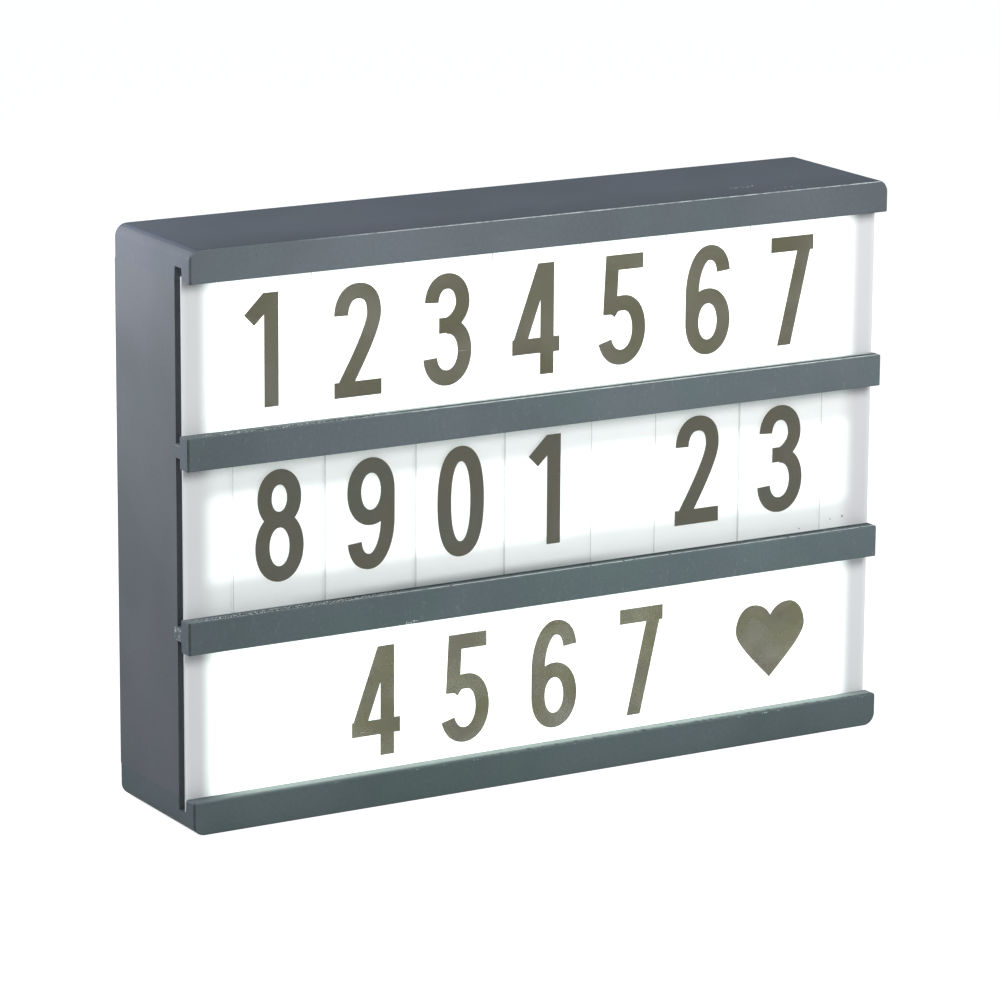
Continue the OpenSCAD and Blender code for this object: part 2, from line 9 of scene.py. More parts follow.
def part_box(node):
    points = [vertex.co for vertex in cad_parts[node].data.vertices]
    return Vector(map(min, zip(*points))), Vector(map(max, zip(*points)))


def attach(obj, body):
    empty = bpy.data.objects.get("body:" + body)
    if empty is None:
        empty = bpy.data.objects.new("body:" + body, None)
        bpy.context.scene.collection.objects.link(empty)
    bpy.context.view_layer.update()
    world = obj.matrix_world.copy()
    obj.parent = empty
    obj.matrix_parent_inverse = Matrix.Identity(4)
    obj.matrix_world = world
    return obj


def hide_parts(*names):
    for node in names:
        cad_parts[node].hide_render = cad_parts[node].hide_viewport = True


# Cinema light box: three lit windows of loose printed tiles in a painted wooden case.
# X runs to the right, Y to the back and Z up, in metres.

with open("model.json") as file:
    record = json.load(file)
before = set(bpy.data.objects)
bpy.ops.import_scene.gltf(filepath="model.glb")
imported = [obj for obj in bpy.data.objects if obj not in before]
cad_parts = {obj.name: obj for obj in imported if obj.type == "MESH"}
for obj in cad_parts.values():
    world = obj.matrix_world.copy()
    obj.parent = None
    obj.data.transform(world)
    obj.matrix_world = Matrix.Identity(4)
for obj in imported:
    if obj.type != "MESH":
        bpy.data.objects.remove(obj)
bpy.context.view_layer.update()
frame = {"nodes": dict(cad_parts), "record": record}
cadNodes = frame["nodes"]
bodyOf = {node: body for body, members in frame["record"]["behaviour"]["bodies"].items()
          for node in members}
scene = bpy.context.scene
mm = 0.001
print("frame loaded:", len(cadNodes), "nodes")


# Camera, lamps and floor

cameraView = {
    "place": (-0.68491, -1.15966, 0.40782),
    "turn": (76.1168, -0.3771, -30.3650),  # degrees about X, Y and Z
    "lens": 179.663,
    "sensor": 36.0,
}

lamps = {
    # place, aim, size, power, colour
    "sideLamp": ((-0.242, 0.050, 0.184), (-0.11, 0.0, 0.13), 0.09, 0.305, (1.0, 0.94, 1.03)),
    "frontLamp": ((0.11, -0.37, 0.31), (0.0, -0.022, 0.10), 0.20, 1.42, (1.0, 1.01, 1.0)),
    "backLamp": ((-0.12, 0.80, 0.26), (0.0, 0.022, 0.08), 0.40, 3.0, (1.0, 1.0, 1.0)),
}

surroundings = {
    "light": 0.25,  # what the room gives to the object
    "tint": (0.90, 1.0, 1.12),
    "floorSize": 6.0,
    "floorZ": -0.0001,  # a hair below the case, so that the two don't flicker
    "floorTone": 0.50,
    "floorGlow": 0.88,  # what the camera sees in the floor besides its own colour
}


def makeCamera():
    data = bpy.data.cameras.new("camera")
    data.lens = cameraView["lens"]
    data.sensor_width = cameraView["sensor"]
    data.clip_start = 0.05
    data.clip_end = 60.0
    camera = bpy.data.objects.new("camera", data)
    camera.location = cameraView["place"]
    camera.rotation_euler = [math.radians(angle) for angle in cameraView["turn"]]
    scene.collection.objects.link(camera)
    scene.camera = camera


def makeLamps():
    for name, (place, aim, size, power, colour) in lamps.items():
        data = bpy.data.lights.new(name, "AREA")
        data.shape = "DISK"
        data.size = size
        data.energy = power
        data.color = colour
        lamp = bpy.data.objects.new(name, data)
        lamp.location = place
        lamp.rotation_euler = (Vector(aim) - Vector(place)).to_track_quat("-Z", "Y").to_euler()
        lamp.visible_camera = False
        scene.collection.objects.link(lamp)


# Shader maths

class Signal:  # a value or a colour in a material; the operators add Math nodes
    def __init__(self, look, socket):
        self.look = look
        self.socket = socket

    def maths(self, operation, *values):
        return self.look.maths(operation, *values)

    def __add__(self, other):
        return self.maths("ADD", self, other)

    def __radd__(self, other):
        return self.maths("ADD", other, self)

    def __sub__(self, other):
        return self.maths("SUBTRACT", self, other)

    def __rsub__(self, other):
        return self.maths("SUBTRACT", other, self)

    def __mul__(self, other):
        return self.maths("MULTIPLY", self, other)

    def __rmul__(self, other):
        return self.maths("MULTIPLY", other, self)

    def __truediv__(self, other):
        return self.maths("DIVIDE", self, other)

    def __gt__(self, other):
        return self.maths("GREATER_THAN", self, other)

    def __lt__(self, other):
        return self.maths("LESS_THAN", self, other)

    def __abs__(self):
        return self.maths("ABSOLUTE", self)

    def atLeast(self, other):
        return self.maths("MAXIMUM", self, other)

    def atMost(self, other):
        return self.maths("MINIMUM", self, other)


class Look:  # a node material that is built up by calls
    def __init__(self, name, tree=None):
        if tree is None:
            self.material = bpy.data.materials.new(name)
            self.material.use_nodes = True
            tree = self.material.node_tree
        self.tree = tree
        self.tree.nodes.clear()

    def node(self, kind, settings=None, inputs=None, output=0):
        made = self.tree.nodes.new("ShaderNode" + kind)
        for key, value in (settings or {}).items():
            if key == "stops":
                self.setStops(made.color_ramp.elements, value)
            else:
                setattr(made, key, value)
        for key, value in (inputs or {}).items():
            socket = made.inputs[key]
            if isinstance(value, Signal):
                self.tree.links.new(value.socket, socket)
            elif socket.type == "RGBA":
                socket.default_value = (*value, 1.0)
            else:
                socket.default_value = value
        return Signal(self, made.outputs[output]) if made.outputs else None

    def maths(self, operation, *values):
        return self.node("Math", {"operation": operation}, dict(enumerate(values)))

    def setStops(self, elements, stops):
        while len(elements) < len(stops):
            elements.new(1.0)
        for element, (place, colour) in zip(elements, stops):
            element.position = place
            element.color = (*colour, 1.0)

    def point(self):  # the place on the piece, in millimetres
        place = self.node("TexCoord", output="Object")
        return self.node("VectorMath", {"operation": "SCALE"}, {0: place, "Scale": 1 / mm})

    def facing(self):  # which way the surface looks, along each axis
        return self.axes(self.node("TexCoord", output="Normal"))

    def axes(self, vector):
        parts = self.node("SeparateXYZ", inputs={0: vector}).socket.node
        return [Signal(self, output) for output in parts.outputs]

    def stretched(self, point, *scale):
        return self.node("VectorMath", {"operation": "MULTIPLY"}, {0: point, 1: scale})

    def moved(self, point, *shift):
        return self.node("VectorMath", {"operation": "ADD"}, {0: point, 1: shift})

    def noise(self, point, size, detail=3.0, roughness=0.55):  # size of a blotch in mm
        return self.node("TexNoise", None, {"Vector": point, "Scale": 1.0 / size, "Detail": detail,
                                            "Roughness": roughness})

    def cells(self, point, size):  # distance to the nearest of many scattered points
        return self.node("TexVoronoi", None, {"Vector": point, "Scale": 1.0 / size})

    def rise(self, value, low, high):  # a soft step from 0 at low to 1 at high
        return self.node("MapRange", {"interpolation_type": "SMOOTHSTEP"},
                         {"Value": value, "From Min": low, "From Max": high})

    def band(self, value, low, high, soft):
        return self.rise(value, low - soft / 2, low + soft / 2) \
            * (1.0 - self.rise(value, high - soft / 2, high + soft / 2))

    def mix(self, share, first, second, blend="MIX"):
        return self.node("Mix", {"data_type": "RGBA", "blend_type": blend},
                         {0: share, 6: first, 7: second}, output=2)

    def grey(self, value):
        return self.node("CombineColor", None, {0: value, 1: value, 2: value})

    def bump(self, height, depth, strength=1.0):  # depth in mm
        return self.node("Bump", None, {"Height": height, "Distance": depth * mm,
                                        "Strength": strength})

    def surface(self, **sockets):
        values = {name.replace("_", " "): value for name, value in sockets.items()}
        self.show(self.node("BsdfPrincipled", None, values))
        return self.material

    def show(self, shader, end="OutputMaterial"):
        self.node(end, None, {"Surface": shader})

    def seen(self):  # 1 for what the camera sees, also in a mirror or through glass
        path = self.node("LightPath").socket.node
        camera, mirror, glass = (Signal(self, path.outputs[name]) for name in
                                 ("Is Camera Ray", "Is Glossy Ray", "Is Transmission Ray"))
        return camera.atLeast(mirror).atLeast(glass)


def makeWorld():
    world = bpy.data.worlds.new("studio")
    world.use_nodes = True
    scene.world = world
    look = Look("studio", world.node_tree)
    room = look.node("Background", None, {"Color": surroundings["tint"],
                                          "Strength": surroundings["light"]})
    white = look.node("Background", None, {"Color": (1.0, 1.0, 1.0), "Strength": 1.0})
    look.show(look.node("MixShader", None, {0: look.seen(), 1: room, 2: white}), "OutputWorld")


def makeFloor():
    work = bmesh.new()
    bmesh.ops.create_grid(work, x_segments=2, y_segments=2, size=surroundings["floorSize"] / 2)
    data = bpy.data.meshes.new("floor")
    work.to_mesh(data)
    work.free()
    floor = bpy.data.objects.new("floor", data)
    floor.location.z = surroundings["floorZ"]
    scene.collection.objects.link(floor)
    look = Look("floor")
    tone = surroundings["floorTone"]
    cloth = look.node("BsdfDiffuse", None, {"Color": (tone, tone, tone)})
    pale = look.node("Emission", None, {"Color": (1.0, 1.0, 1.0),
                                        "Strength": look.seen() * surroundings["floorGlow"]})
    look.show(look.node("AddShader", None, {0: cloth, 1: pale}))
    data.materials.append(look.material)


scene.view_settings.view_transform = "Standard"
makeCamera()
makeLamps()
makeWorld()
makeFloor()
print("camera, lamps and floor ready")


# Helpers for pieces

def lowest(node):
    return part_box(node)[0]


def highest(node):
    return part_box(node)[1]


def newPiece(name, work, material, body, smoothUnder=None):
    data = bpy.data.meshes.new(name)
    work.to_mesh(data)
    work.free()
    data.materials.append(material)
    piece = bpy.data.objects.new(name, data)
    scene.collection.objects.link(piece)
    if smoothUnder:
        data.shade_smooth()
        data.set_sharp_from_angle(angle=math.radians(smoothUnder))
        piece.modifiers.new("evenShading", "WEIGHTED_NORMAL").keep_sharp = True
    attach(piece, body)
    return piece


def softened(node, material, width, segments=3, sharp=lambda edge: False):
    # a copy of a CAD node with its sharp edges rounded, except those that sharp() names
    work = bmesh.new()
    work.from_mesh(cadNodes[node].data)
    bmesh.ops.remove_doubles(work, verts=work.verts, dist=0.001 * mm)
    bmesh.ops.dissolve_limit(work, angle_limit=math.radians(0.4), verts=work.verts,
                             edges=work.edges)
    edges = [edge for edge in work.edges if edge.is_manifold and edge.is_convex
             and edge.calc_face_angle(0.0) > math.radians(35) and not sharp(edge)]
    bmesh.ops.bevel(work, geom=edges, offset=width * mm, offset_type="OFFSET", segments=segments,
                    profile=0.5, affect="EDGES", clamp_overlap=True, material=-1)
    piece = newPiece(node + "_soft", work, material, bodyOf[node], smoothUnder=40)
    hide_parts(node)
    return piece


def dress(node, material):
    for slot in cadNodes[node].material_slots:
        slot.material = material


# Painted boards and rails

paint = {
    "tone": (0.150, 0.173, 0.190),
    "deepTone": (0.128, 0.152, 0.163),
    "tealTone": (0.132, 0.172, 0.172),
    "toneSize": 38.0,  # of the large clouds, in mm
    "tealSize": 24.0,
    "tealShare": 0.6,
    "mottle": 0.20,  # share by which small blotches darken the paint
    "mottleSize": 1.1,
    "mottleTone": (0.05, 0.06, 0.065),
    "speckPitch": 5.5,  # mean distance between dark specks
    "speckReach": 0.035,  # radius of a speck, as a share of that
    "speckShare": 0.45,
    "speckTone": (0.03, 0.035, 0.04),
    "flecks": 0.20,  # share of the paler flecks
    "fleckSize": 1.5,
    "fleckTone": (0.30, 0.33, 0.34),
    "roughness": 0.56,
    "shine": 0.05,
    "peel": 0.010,  # depth of the roller's texture, in mm
    "peelSize": 0.9,
    # colour of the chips, and of the painted highlights along the front edges
    "chipAndHighlightTone": (0.62, 0.66, 0.66),
    "darkTone": (0.02, 0.025, 0.025),
    # painted reflection of the lit windows on the ledges of the rails
    "railLedgeReflection": (0.52, 0.57, 0.55),
    "bottomLedgeReflection": (0.36, 0.415, 0.395),  # painted reflection of the lit window on the bottom window's ledge
    "topShadeTint": (0.77, 0.81, 0.92),  # painted shade: the top board's upper face is darker and bluer, as less light falls on it
    "shade": 0.22,  # painted shade: how much darker that face is near its front
    "shadeReach": 17.0,
    "sideLight": 0.22,  # how much paler the sides are at the top: painted light, which falls more strongly there
    "sideLightZ": 118.0,  # where that begins
    "frontLightReach": (-95.0, 60.0),  # between which the fronts' painted light changes from its gain at the left to that at the right
    # how dark the painted shade lines along the ledges are
    "shadeLinesShare": 0.85,
    "rounding": 0.45,
    "railRounding": 0.35,
}

frontY = lowest("top_board").y / mm
boardBackY = highest("left_board").y / mm
channelBackY = lowest("left_board").y / mm
channelY = channelBackY - 4.0
topZ = highest("top_board").z / mm
upperRailZ = highest("upper_rail").z / mm
lowerRailZ = highest("lower_rail").z / mm
bottomLipZ = highest("bottom_board").z / mm
topLipZ = lowest("top_board").z / mm
endX = highest("top_board").x / mm
railX = lowest("upper_rail").x / mm


def chipAndHighlightLine(look, point, edgeZ, startX, endX, width, share, back=0.0, drop=0.0, soft=0.05):
    # a thin broken pale line along a front top edge, set back or down from it: partly bare filler,
    # partly a painted highlight on the rounded edge
    x, y, z = look.axes(point)
    away = abs(y - frontY - back).atLeast(abs(z - edgeZ + drop))
    along = look.moved(look.stretched(point, 1.0, 0.0, 0.0), 41.0, edgeZ, 7.0)
    thick = look.noise(along, 3.0, 2.0) * 1.6 * width
    broken = look.rise(look.noise(along, 1.9, 3.0, 0.65), 1.0 - soft - share, 1.0 + soft - share)
    return (away < thick) * broken * look.rise(x, startX, startX + 40.0) * (x < endX)


def wornDots(look, point, edgeZ, startX, endX, width, share, back=0.0):
    # chips that are strewn along the front of a ledge
    x, y, z = look.axes(point)
    away = abs(y - frontY - back - width).atLeast(abs(z - edgeZ))
    dots = look.noise(look.moved(point, 13.0, 5.0, edgeZ), 0.62, 2.0, 0.6)
    return (away < width) * look.rise(dots, 1.0 - share, 1.06 - share) \
        * look.band(x, startX, endX, 14.0)


def wornSpot(look, point, place, reach, share):
    # a few chips around one place
    inside = 1.0
    for value, middle, half in zip(look.axes(point), place, reach):
        inside = (abs(value - middle) < half) * inside
    dots = look.noise(look.moved(point, 31.0, 2.0, 8.0), 0.6, 2.0, 0.6)
    return inside * look.rise(dots, 1.0 - share, 1.06 - share)


def shadeLine(look, point, edgeZ, startX, endX, back, share):
    # a thin painted shade line along a ledge
    x, y, z = look.axes(point)
    along = look.stretched(point, 1.0, 0.0, 0.0)
    line = abs(y - frontY - back) < look.noise(along, 9.0) * 1.3
    grains = look.rise(look.noise(look.moved(along, 9.0, 0.0, 0.0), 2.2, 3.0), 0.9 - share, 1.1 - share)
    return line * grains * (abs(z - edgeZ) < 0.2) * look.band(x, startX, endX, 20.0)


def paintLook(name, tint, wearAndHighlights=(), shadeLines=(), frontLight=(1.0, 1.0), ledge=None, topShadeTint=None, leftX=None,
              flecked=0.25):
    # The front's painted light gain is given at the left and at the right; a ledge's painted reflection
    # by its level and its tone, between which X it comes up, and between which distances from the front
    look = Look(name)
    point = look.point()
    x, y, z = look.axes(point)
    facing = look.facing()
    drift = look.noise(point, paint["toneSize"], 2.0)
    tone = look.mix(look.rise(drift, 0.35, 0.65), paint["deepTone"], paint["tone"])
    teal = look.noise(look.moved(point, 90.0, 30.0, 10.0), paint["tealSize"], 2.0)
    tone = look.mix(look.rise(teal, 0.45, 0.7) * paint["tealShare"], tone, paint["tealTone"])
    small = look.noise(point, paint["mottleSize"], 4.0, 0.65)
    tone = look.mix((1.0 - small) * paint["mottle"] * 2.0, tone, paint["mottleTone"])
    specks = look.cells(look.moved(point, 3.0, 8.0, 5.0), paint["speckPitch"]) < paint["speckReach"]
    tone = look.mix(specks * paint["speckShare"], tone, paint["speckTone"])
    upright = look.moved(look.stretched(point, 1.0, 1.0, 0.6), 7.0, 0.0, 3.0)
    flecks = look.rise(look.noise(upright, paint["fleckSize"], 4.0, 0.75), 0.58, 0.72)
    tone = look.mix(flecks * (paint["flecks"] * flecked), tone, paint["fleckTone"])
    tone = look.mix(1.0, tone, tint, "MULTIPLY")
    # painted light: the fronts grow brighter or darker from left to right
    left, right = frontLight
    front = facing[1] < -0.5
    gain = look.rise(x, *paint["frontLightReach"]) * (right - left) + left
    tone = look.mix(front, tone, look.mix(1.0, tone, look.grey(gain), "MULTIPLY"))
    # painted light: the left-facing side grows paler towards the top
    sideLight = look.rise(z, paint["sideLightZ"], topZ) * (facing[0] < -0.3) * paint["sideLight"] + 1.0
    tone = look.mix(1.0, tone, look.grey(sideLight), "MULTIPLY")
    # painted shade on the top board's upper face, all over and more near its front
    if topShadeTint:
        tone = look.mix(facing[2] > 0.8, tone, look.mix(1.0, tone, topShadeTint, "MULTIPLY"))
        nearFront = (1.0 - look.rise(y, frontY, frontY + paint["shadeReach"])) * (facing[2] > 0.8)
        tone = look.mix(nearFront * paint["shade"], tone, paint["darkTone"])
    # painted reflection: the ledges are paler where they catch the lit windows
    if ledge:
        level, ledgeReflectionTone, startX, fullX, nearY, farY = ledge
        pale = (abs(z - level) < 0.25) * (y < channelY + 0.1) \
            * look.rise(x, startX, fullX) * look.rise(y - frontY, nearY, farY)
        uneven = look.noise(point, 5.0, 3.0) * 0.5 + 0.75
        tone = look.mix((pale * uneven).atMost(1.0), tone, ledgeReflectionTone)
    # painted shade lines along the ledges
    for values in shadeLines:
        tone = look.mix(shadeLine(look, point, *values) * paint["shadeLinesShare"], tone, paint["darkTone"])
    # chips, and pale edge lines that are partly painted highlight
    for kind, *values in wearAndHighlights:
        tone = look.mix(kind(look, point, *values), tone, paint["chipAndHighlightTone"])
    if leftX is not None:
        corner = (abs(x - leftX - 0.35) < 0.3) * (y < frontY + 0.5)
        tone = look.mix(corner * (look.noise(point, 2.5, 2.0) * 0.9), tone, paint["darkTone"])
    peel = look.noise(point, paint["peelSize"], 2.0)
    return look.surface(Base_Color=tone, Roughness=paint["roughness"] + (small - 0.5) * 0.16,
                        Specular_IOR_Level=paint["shine"], Normal=look.bump(peel, paint["peel"]))


def atJoint(edge):  # where a side board meets a top or a bottom board, painted over
    return all(min(abs(vert.co.z / mm - level) for level in (topLipZ, bottomLipZ)) < 0.01
               and vert.co.y / mm > channelBackY - 0.01 for vert in edge.verts)


def inGroove(edge):  # the end of a groove's floor, which nearly meets the rounded corner
    return all(channelY - 0.01 < vert.co.y / mm < channelBackY + 0.01 for vert in edge.verts) \
        and all(abs(vert.co.x / mm) > 109.0 for vert in edge.verts) \
        and abs(edge.verts[0].co.z - edge.verts[1].co.z) < 0.01 * mm


def atBoardEdge(edge):
    return atJoint(edge) or inGroove(edge)


# tint, painted light and shade, painted reflection, and wear with painted highlights of each board; the
# numbers of a wear row are those of its function
boards = {
    "top": {
        "tint": (1.0, 0.975, 0.99),
        "frontLight": (1.35, 1.03),
        "topShadeTint": paint["topShadeTint"],
        "leftX": -endX,
        "wearAndHighlights": [
            (chipAndHighlightLine, topZ, -84.0, 108.5, 0.11, 0.60, 0.0, 0.36, 0.25),
            (wornDots, topZ, -110.0, -97.0, 0.9, 0.26),
            (wornSpot, (67.5, -12.5, topZ), (4.5, 1.1, 0.3), 0.42),
            (wornSpot, (78.0, -18.5, topZ), (4.0, 1.0, 0.3), 0.38)],
    },
    "upperRail": {
        "tint": (0.99, 1.01, 0.99),
        "frontLight": (1.09, 1.19),
        "leftX": railX,
        "flecked": 1.0,
        "ledge": (upperRailZ, paint["railLedgeReflection"], -96.0, -20.0, 2.2, 3.2),
        "wearAndHighlights": [
            (wornDots, upperRailZ, -106.0, -46.0, 0.8, 0.43, 0.3),
            (chipAndHighlightLine, upperRailZ, -66.0, 109.0, 0.34, 0.66, 0.5)],
        "shadeLines": [
            (upperRailZ, -104.0, -62.0, 1.2, 0.66),
            (upperRailZ, -72.0, 108.0, 2.0, 0.66)],
    },
    "lowerRail": {
        "tint": (0.97, 1.03, 0.99),
        "frontLight": (1.02, 1.20),
        "leftX": railX,
        "flecked": 1.0,
        "wearAndHighlights": [
            (wornSpot, (railX, channelY + 2.0, lowerRailZ - 4.5), (0.5, 2.0, 3.2), 0.42),
            (wornDots, lowerRailZ, -106.0, -48.0, 1.2, 0.47, 0.4),
            (wornSpot, (-44.0, frontY, lowerRailZ - 8.6), (3.2, 0.6, 0.6), 0.46),
            (chipAndHighlightLine, lowerRailZ, -72.0, 109.0, 0.36, 0.62, 0.9)],
        "shadeLines": [
            (lowerRailZ, -104.0, -50.0, 1.6, 0.72),
            (lowerRailZ, -70.0, 60.0, 3.2, 0.74),
            (lowerRailZ, 40.0, 108.0, 3.2, 0.58)],
    },
    "bottom": {
        "tint": (0.90, 0.98, 0.92),
        "frontLight": (1.04, 1.04),
        "leftX": -endX,
        "ledge": (bottomLipZ, paint["bottomLedgeReflection"], -106.0, -88.0, 0.5, 2.6),
        "wearAndHighlights": [(chipAndHighlightLine, bottomLipZ, -84.0, 109.0, 0.10, 0.36, 0.0, 0.40)],
        "shadeLines": [(bottomLipZ, -20.0, 109.0, 1.0, 0.45)],
    },
    "side": {
        "tint": (1.05, 1.0, 0.97),
    },
}


def makeCase():
    looks = {place: paintLook(place + "Paint", **values) for place, values in boards.items()}
    softened("top_board", looks["top"], paint["rounding"], sharp=atBoardEdge)
    softened("bottom_board", looks["bottom"], paint["rounding"], sharp=atBoardEdge)
    softened("left_board", looks["side"], paint["rounding"], sharp=atJoint)
    softened("right_board", looks["side"], paint["rounding"], sharp=atJoint)
    softened("upper_rail", looks["upperRail"], paint["railRounding"])
    softened("lower_rail", looks["lowerRail"], paint["railRounding"])


makeCase()
print("case ready")


# Diffusers, lit from behind: their glow, with its dim bands and shaded parts, is painted in as emission

glow = {
    "tone": (0.80, 0.80, 0.795),
    "cloudTone": (0.74, 0.745, 0.74),
    "endTone": (0.42, 0.43, 0.44),
    "footShadeTone": (0.30, 0.33, 0.33),
    "dustTone": (0.15, 0.15, 0.16),
    "rightShadeTone": (0.70, 0.69, 0.70),  # painted shade: the sheets' right end lies a little further back
    "roughness": 0.42,
    "leftX": -101.9,
    "rightX": 101.6,
    "softX": 7.0,
    "light": {1: 1.05, 2: 0.62, 3: 1.10},
    "colour": (0.88, 1.0, 0.94),
    "endLight": 0.07,  # what reaches the sheet's own ends
    "rightLight": {1: 0.0, 2: 0.0, 3: 0.085},  # and more of it at the right
    "bandTopZ": 90.6,  # the middle row's dim bands, where the cross bars take the light
    "bandBottomZ": 67.6,
    "bandSoft": 5.0,
    "wave": 6.0,  # how far their edges wander
    "waveSize": 55.0,
    "bandLight": 0.33,
    "bandFall": 0.15,  # what the bands lose towards the rails
    "fallReach": (9.0, 21.0),  # from the row's middle
    "topFill": 0.33,  # and gain again in the shade right below the upper rail
    "fillReach": (-15.0, -10.5),  # from that rail's top
    "fillFade": (30.0, 95.0),  # between which X the gain falls off
    "fillLoss": 0.55,
    "footShade": 0.7,  # painted shadow that dims the middle row's foot
    "footReach": (-0.5, 2.6),  # from the lower rail's top
    "footBand": (-62.0, 25.0, 50.0),  # from and to which X, and how softly
    "dustPitch": 16.0,  # mean distance between specks of dust, and their radius as its share
    "dustReach": 0.010,
    "dust": ((100.8, 61.8, 0.34), (96.7, 61.4, 0.22), (86.1, 59.9, 0.22)),  # x, z and radius
}


def diffuserLook(row):
    look = Look(f"diffuser{row}")
    point = look.point()
    x, _, z = look.axes(point)
    lit = look.band(x, glow["leftX"], glow["rightX"], glow["softX"])
    if row == 2:
        along = look.stretched(point, 1.0, 0.0, 0.0)
        wave = (look.noise(along, glow["waveSize"], 1.0) - 0.5) * glow["wave"]
        inner = look.band(z + wave, glow["bandBottomZ"], glow["bandTopZ"], glow["bandSoft"])
        middle = (glow["bandBottomZ"] + glow["bandTopZ"]) / 2
        faint = glow["bandLight"] - look.rise(abs(z - middle), *glow["fallReach"]) * glow["bandFall"]
        fill = glow["topFill"] * (1.0 - look.rise(x, *glow["fillFade"]) * glow["fillLoss"])
        fillLow, fillHigh = glow["fillReach"]
        faint = faint + look.rise(z, upperRailZ + fillLow, upperRailZ + fillHigh) * fill
        # painted shadow at the middle row's foot, right above the lower rail
        footLow, footHigh = glow["footReach"]
        foot = 1.0 - look.rise(z, lowerRailZ + footLow, lowerRailZ + footHigh)
        foot = foot * look.band(x, *glow["footBand"])
        lit = lit * (inner * (1.0 - faint) + faint) * (1.0 - foot)
    ends = look.rise(abs(x), endX - 2.2, endX - 0.6) * glow["endLight"]
    cloudy = look.noise(point, 14.0, 2.0)
    tone = look.mix(cloudy * 0.3, glow["tone"], glow["cloudTone"])
    tone = look.mix((abs(look.facing()[0]) > 0.5) * 0.75, tone, glow["endTone"])
    # the painted shadow at the foot darkens the sheet's colour too
    if row == 2:
        tone = look.mix(foot * glow["footShade"], tone, glow["footShadeTone"])
    # painted shade at the sheets' right end
    tone = look.mix(look.rise(x, 98.0, 105.0), tone, glow["rightShadeTone"])
    dust = look.cells(look.moved(point, 17.0, 0.0, 9.0), glow["dustPitch"]) < glow["dustReach"]
    for spotX, spotZ, radius in glow["dust"]:
        dust = dust.atLeast(abs(x - spotX).atLeast(abs(z - spotZ)) < radius)
    tone = look.mix(dust * 0.7, tone, glow["dustTone"])
    ends = ends + look.rise(x, 97.0, 104.0) * glow["rightLight"][row]
    # painted light: the glow that the lamps behind the sheet would give it
    power = (lit * glow["light"][row] + ends) * (1.0 - dust * 0.5)
    return look.surface(Base_Color=tone, Roughness=glow["roughness"],
                        Emission_Color=look.mix(1.0, look.grey(power), glow["colour"], "MULTIPLY"),
                        Emission_Strength=1.0,
                        Normal=look.bump(look.noise(point, 0.8, 2.0), 0.004))


def makeDiffusers():
    for row in (1, 2, 3):
        dress(f"diffuser_{row}", diffuserLook(row))


makeDiffusers()
print("diffusers ready")


# Tiles: clear film with a printed figure

tileRows = {1: "1234567", 2: "890123", 3: "4567h"}  # h stands for the heart

film = {
    "tone": (0.90, 0.92, 0.92),
    "edgeTone": (0.05, 0.055, 0.06),
    "faceAlpha": 0.03,
    "edgeAlpha": 0.40,
    "farLoss": 0.34,  # the right edge is seen through the film and shows less
    "roughness": 0.12,
}

ink = {
    "tone": {1: (0.080, 0.076, 0.030), 2: (0.068, 0.070, 0.049), 3: (0.087, 0.078, 0.003)},
    "brownTone": (0.086, 0.070, 0.044),
    "alpha": {1: 0.842, 2: 0.917, 3: 0.758},
    "unevenness": 0.13,  # how much the alpha wanders
    "thinSize": 13.0,
    "patchSize": 16.0,  # of the brown patches
    "brownShare": 0.7,
    "grainSize": 0.7,
    "grainShare": 0.25,
    "grainTone": (0.11, 0.105, 0.06),
    "nick": 0.22,  # what a scratch takes off the alpha
    "roughness": 0.35,
    "thickness": 0.04,
}

figure = {
    "height": 31.0,
    "stroke": 4.3,
    "baseline": {1: 7.6, 2: 9.4, 3: 7.5},  # above the tile's bottom edge
    "steps": 14,  # between two knots of a curve
    "heartWidth": 23.2,
    "heartHeight": 21.8,
    "heartRise": 12.3,
}


def filmLook():
    look = Look("film")
    point = look.point()
    facing = look.facing()
    flat = abs(facing[1]) > 0.5
    edge = film["edgeAlpha"] - (facing[0] > 0.5) * film["farLoss"]
    scuff = look.noise(look.stretched(point, 1.0, 1.0, 4.0), 7.0, 3.0)
    faceAlpha = film["faceAlpha"] * (0.5 + scuff)
    alpha = flat * faceAlpha + (1.0 - flat) * edge
    return look.surface(Base_Color=look.mix(flat, film["edgeTone"], film["tone"]),
                        Roughness=film["roughness"], Alpha=alpha)


def inkLook(row):
    look = Look(f"ink{row}")
    point = look.point()
    patches = look.rise(look.noise(point, ink["patchSize"], 2.0), 0.35, 0.65)
    grain = look.noise(point, ink["grainSize"], 1.0, 0.5)
    tone = look.mix(patches * ink["brownShare"], ink["tone"][row], ink["brownTone"])
    tone = look.mix(grain * ink["grainShare"], tone, ink["grainTone"])
    thin = look.noise(look.moved(point, 50.0, 0.0, 20.0), ink["thinSize"], 1.0)
    nick = look.noise(look.stretched(point, 0.35, 1.0, 5.0), 3.4, 1.0) > 0.78
    alpha = ink["alpha"][row] + (thin - 0.5) * ink["unevenness"] * 2.0 - nick * ink["nick"]
    return look.surface(Base_Color=tone, Roughness=ink["roughness"], Alpha=alpha)


def slab(work, thickness):  # gives a flat shape in X and Z its thickness along Y
    faces = bmesh.ops.extrude_face_region(work, geom=work.faces[:])["geom"]
    moved = [item for item in faces if isinstance(item, bmesh.types.BMVert)]
    bmesh.ops.translate(work, verts=moved, vec=(0.0, thickness, 0.0))
    bmesh.ops.recalc_face_normals(work, faces=work.faces)


def ring(x, z, across, up, pull=0.58):  # an upright oval, which ends where it starts
    return [(x + across, z, 0.0, up * pull), (x, z + up, -across * pull, 0.0),
            (x - across, z, 0.0, -up * pull), (x, z - up, across * pull, 0.0),
            (x + across, z, 0.0, up * pull)]


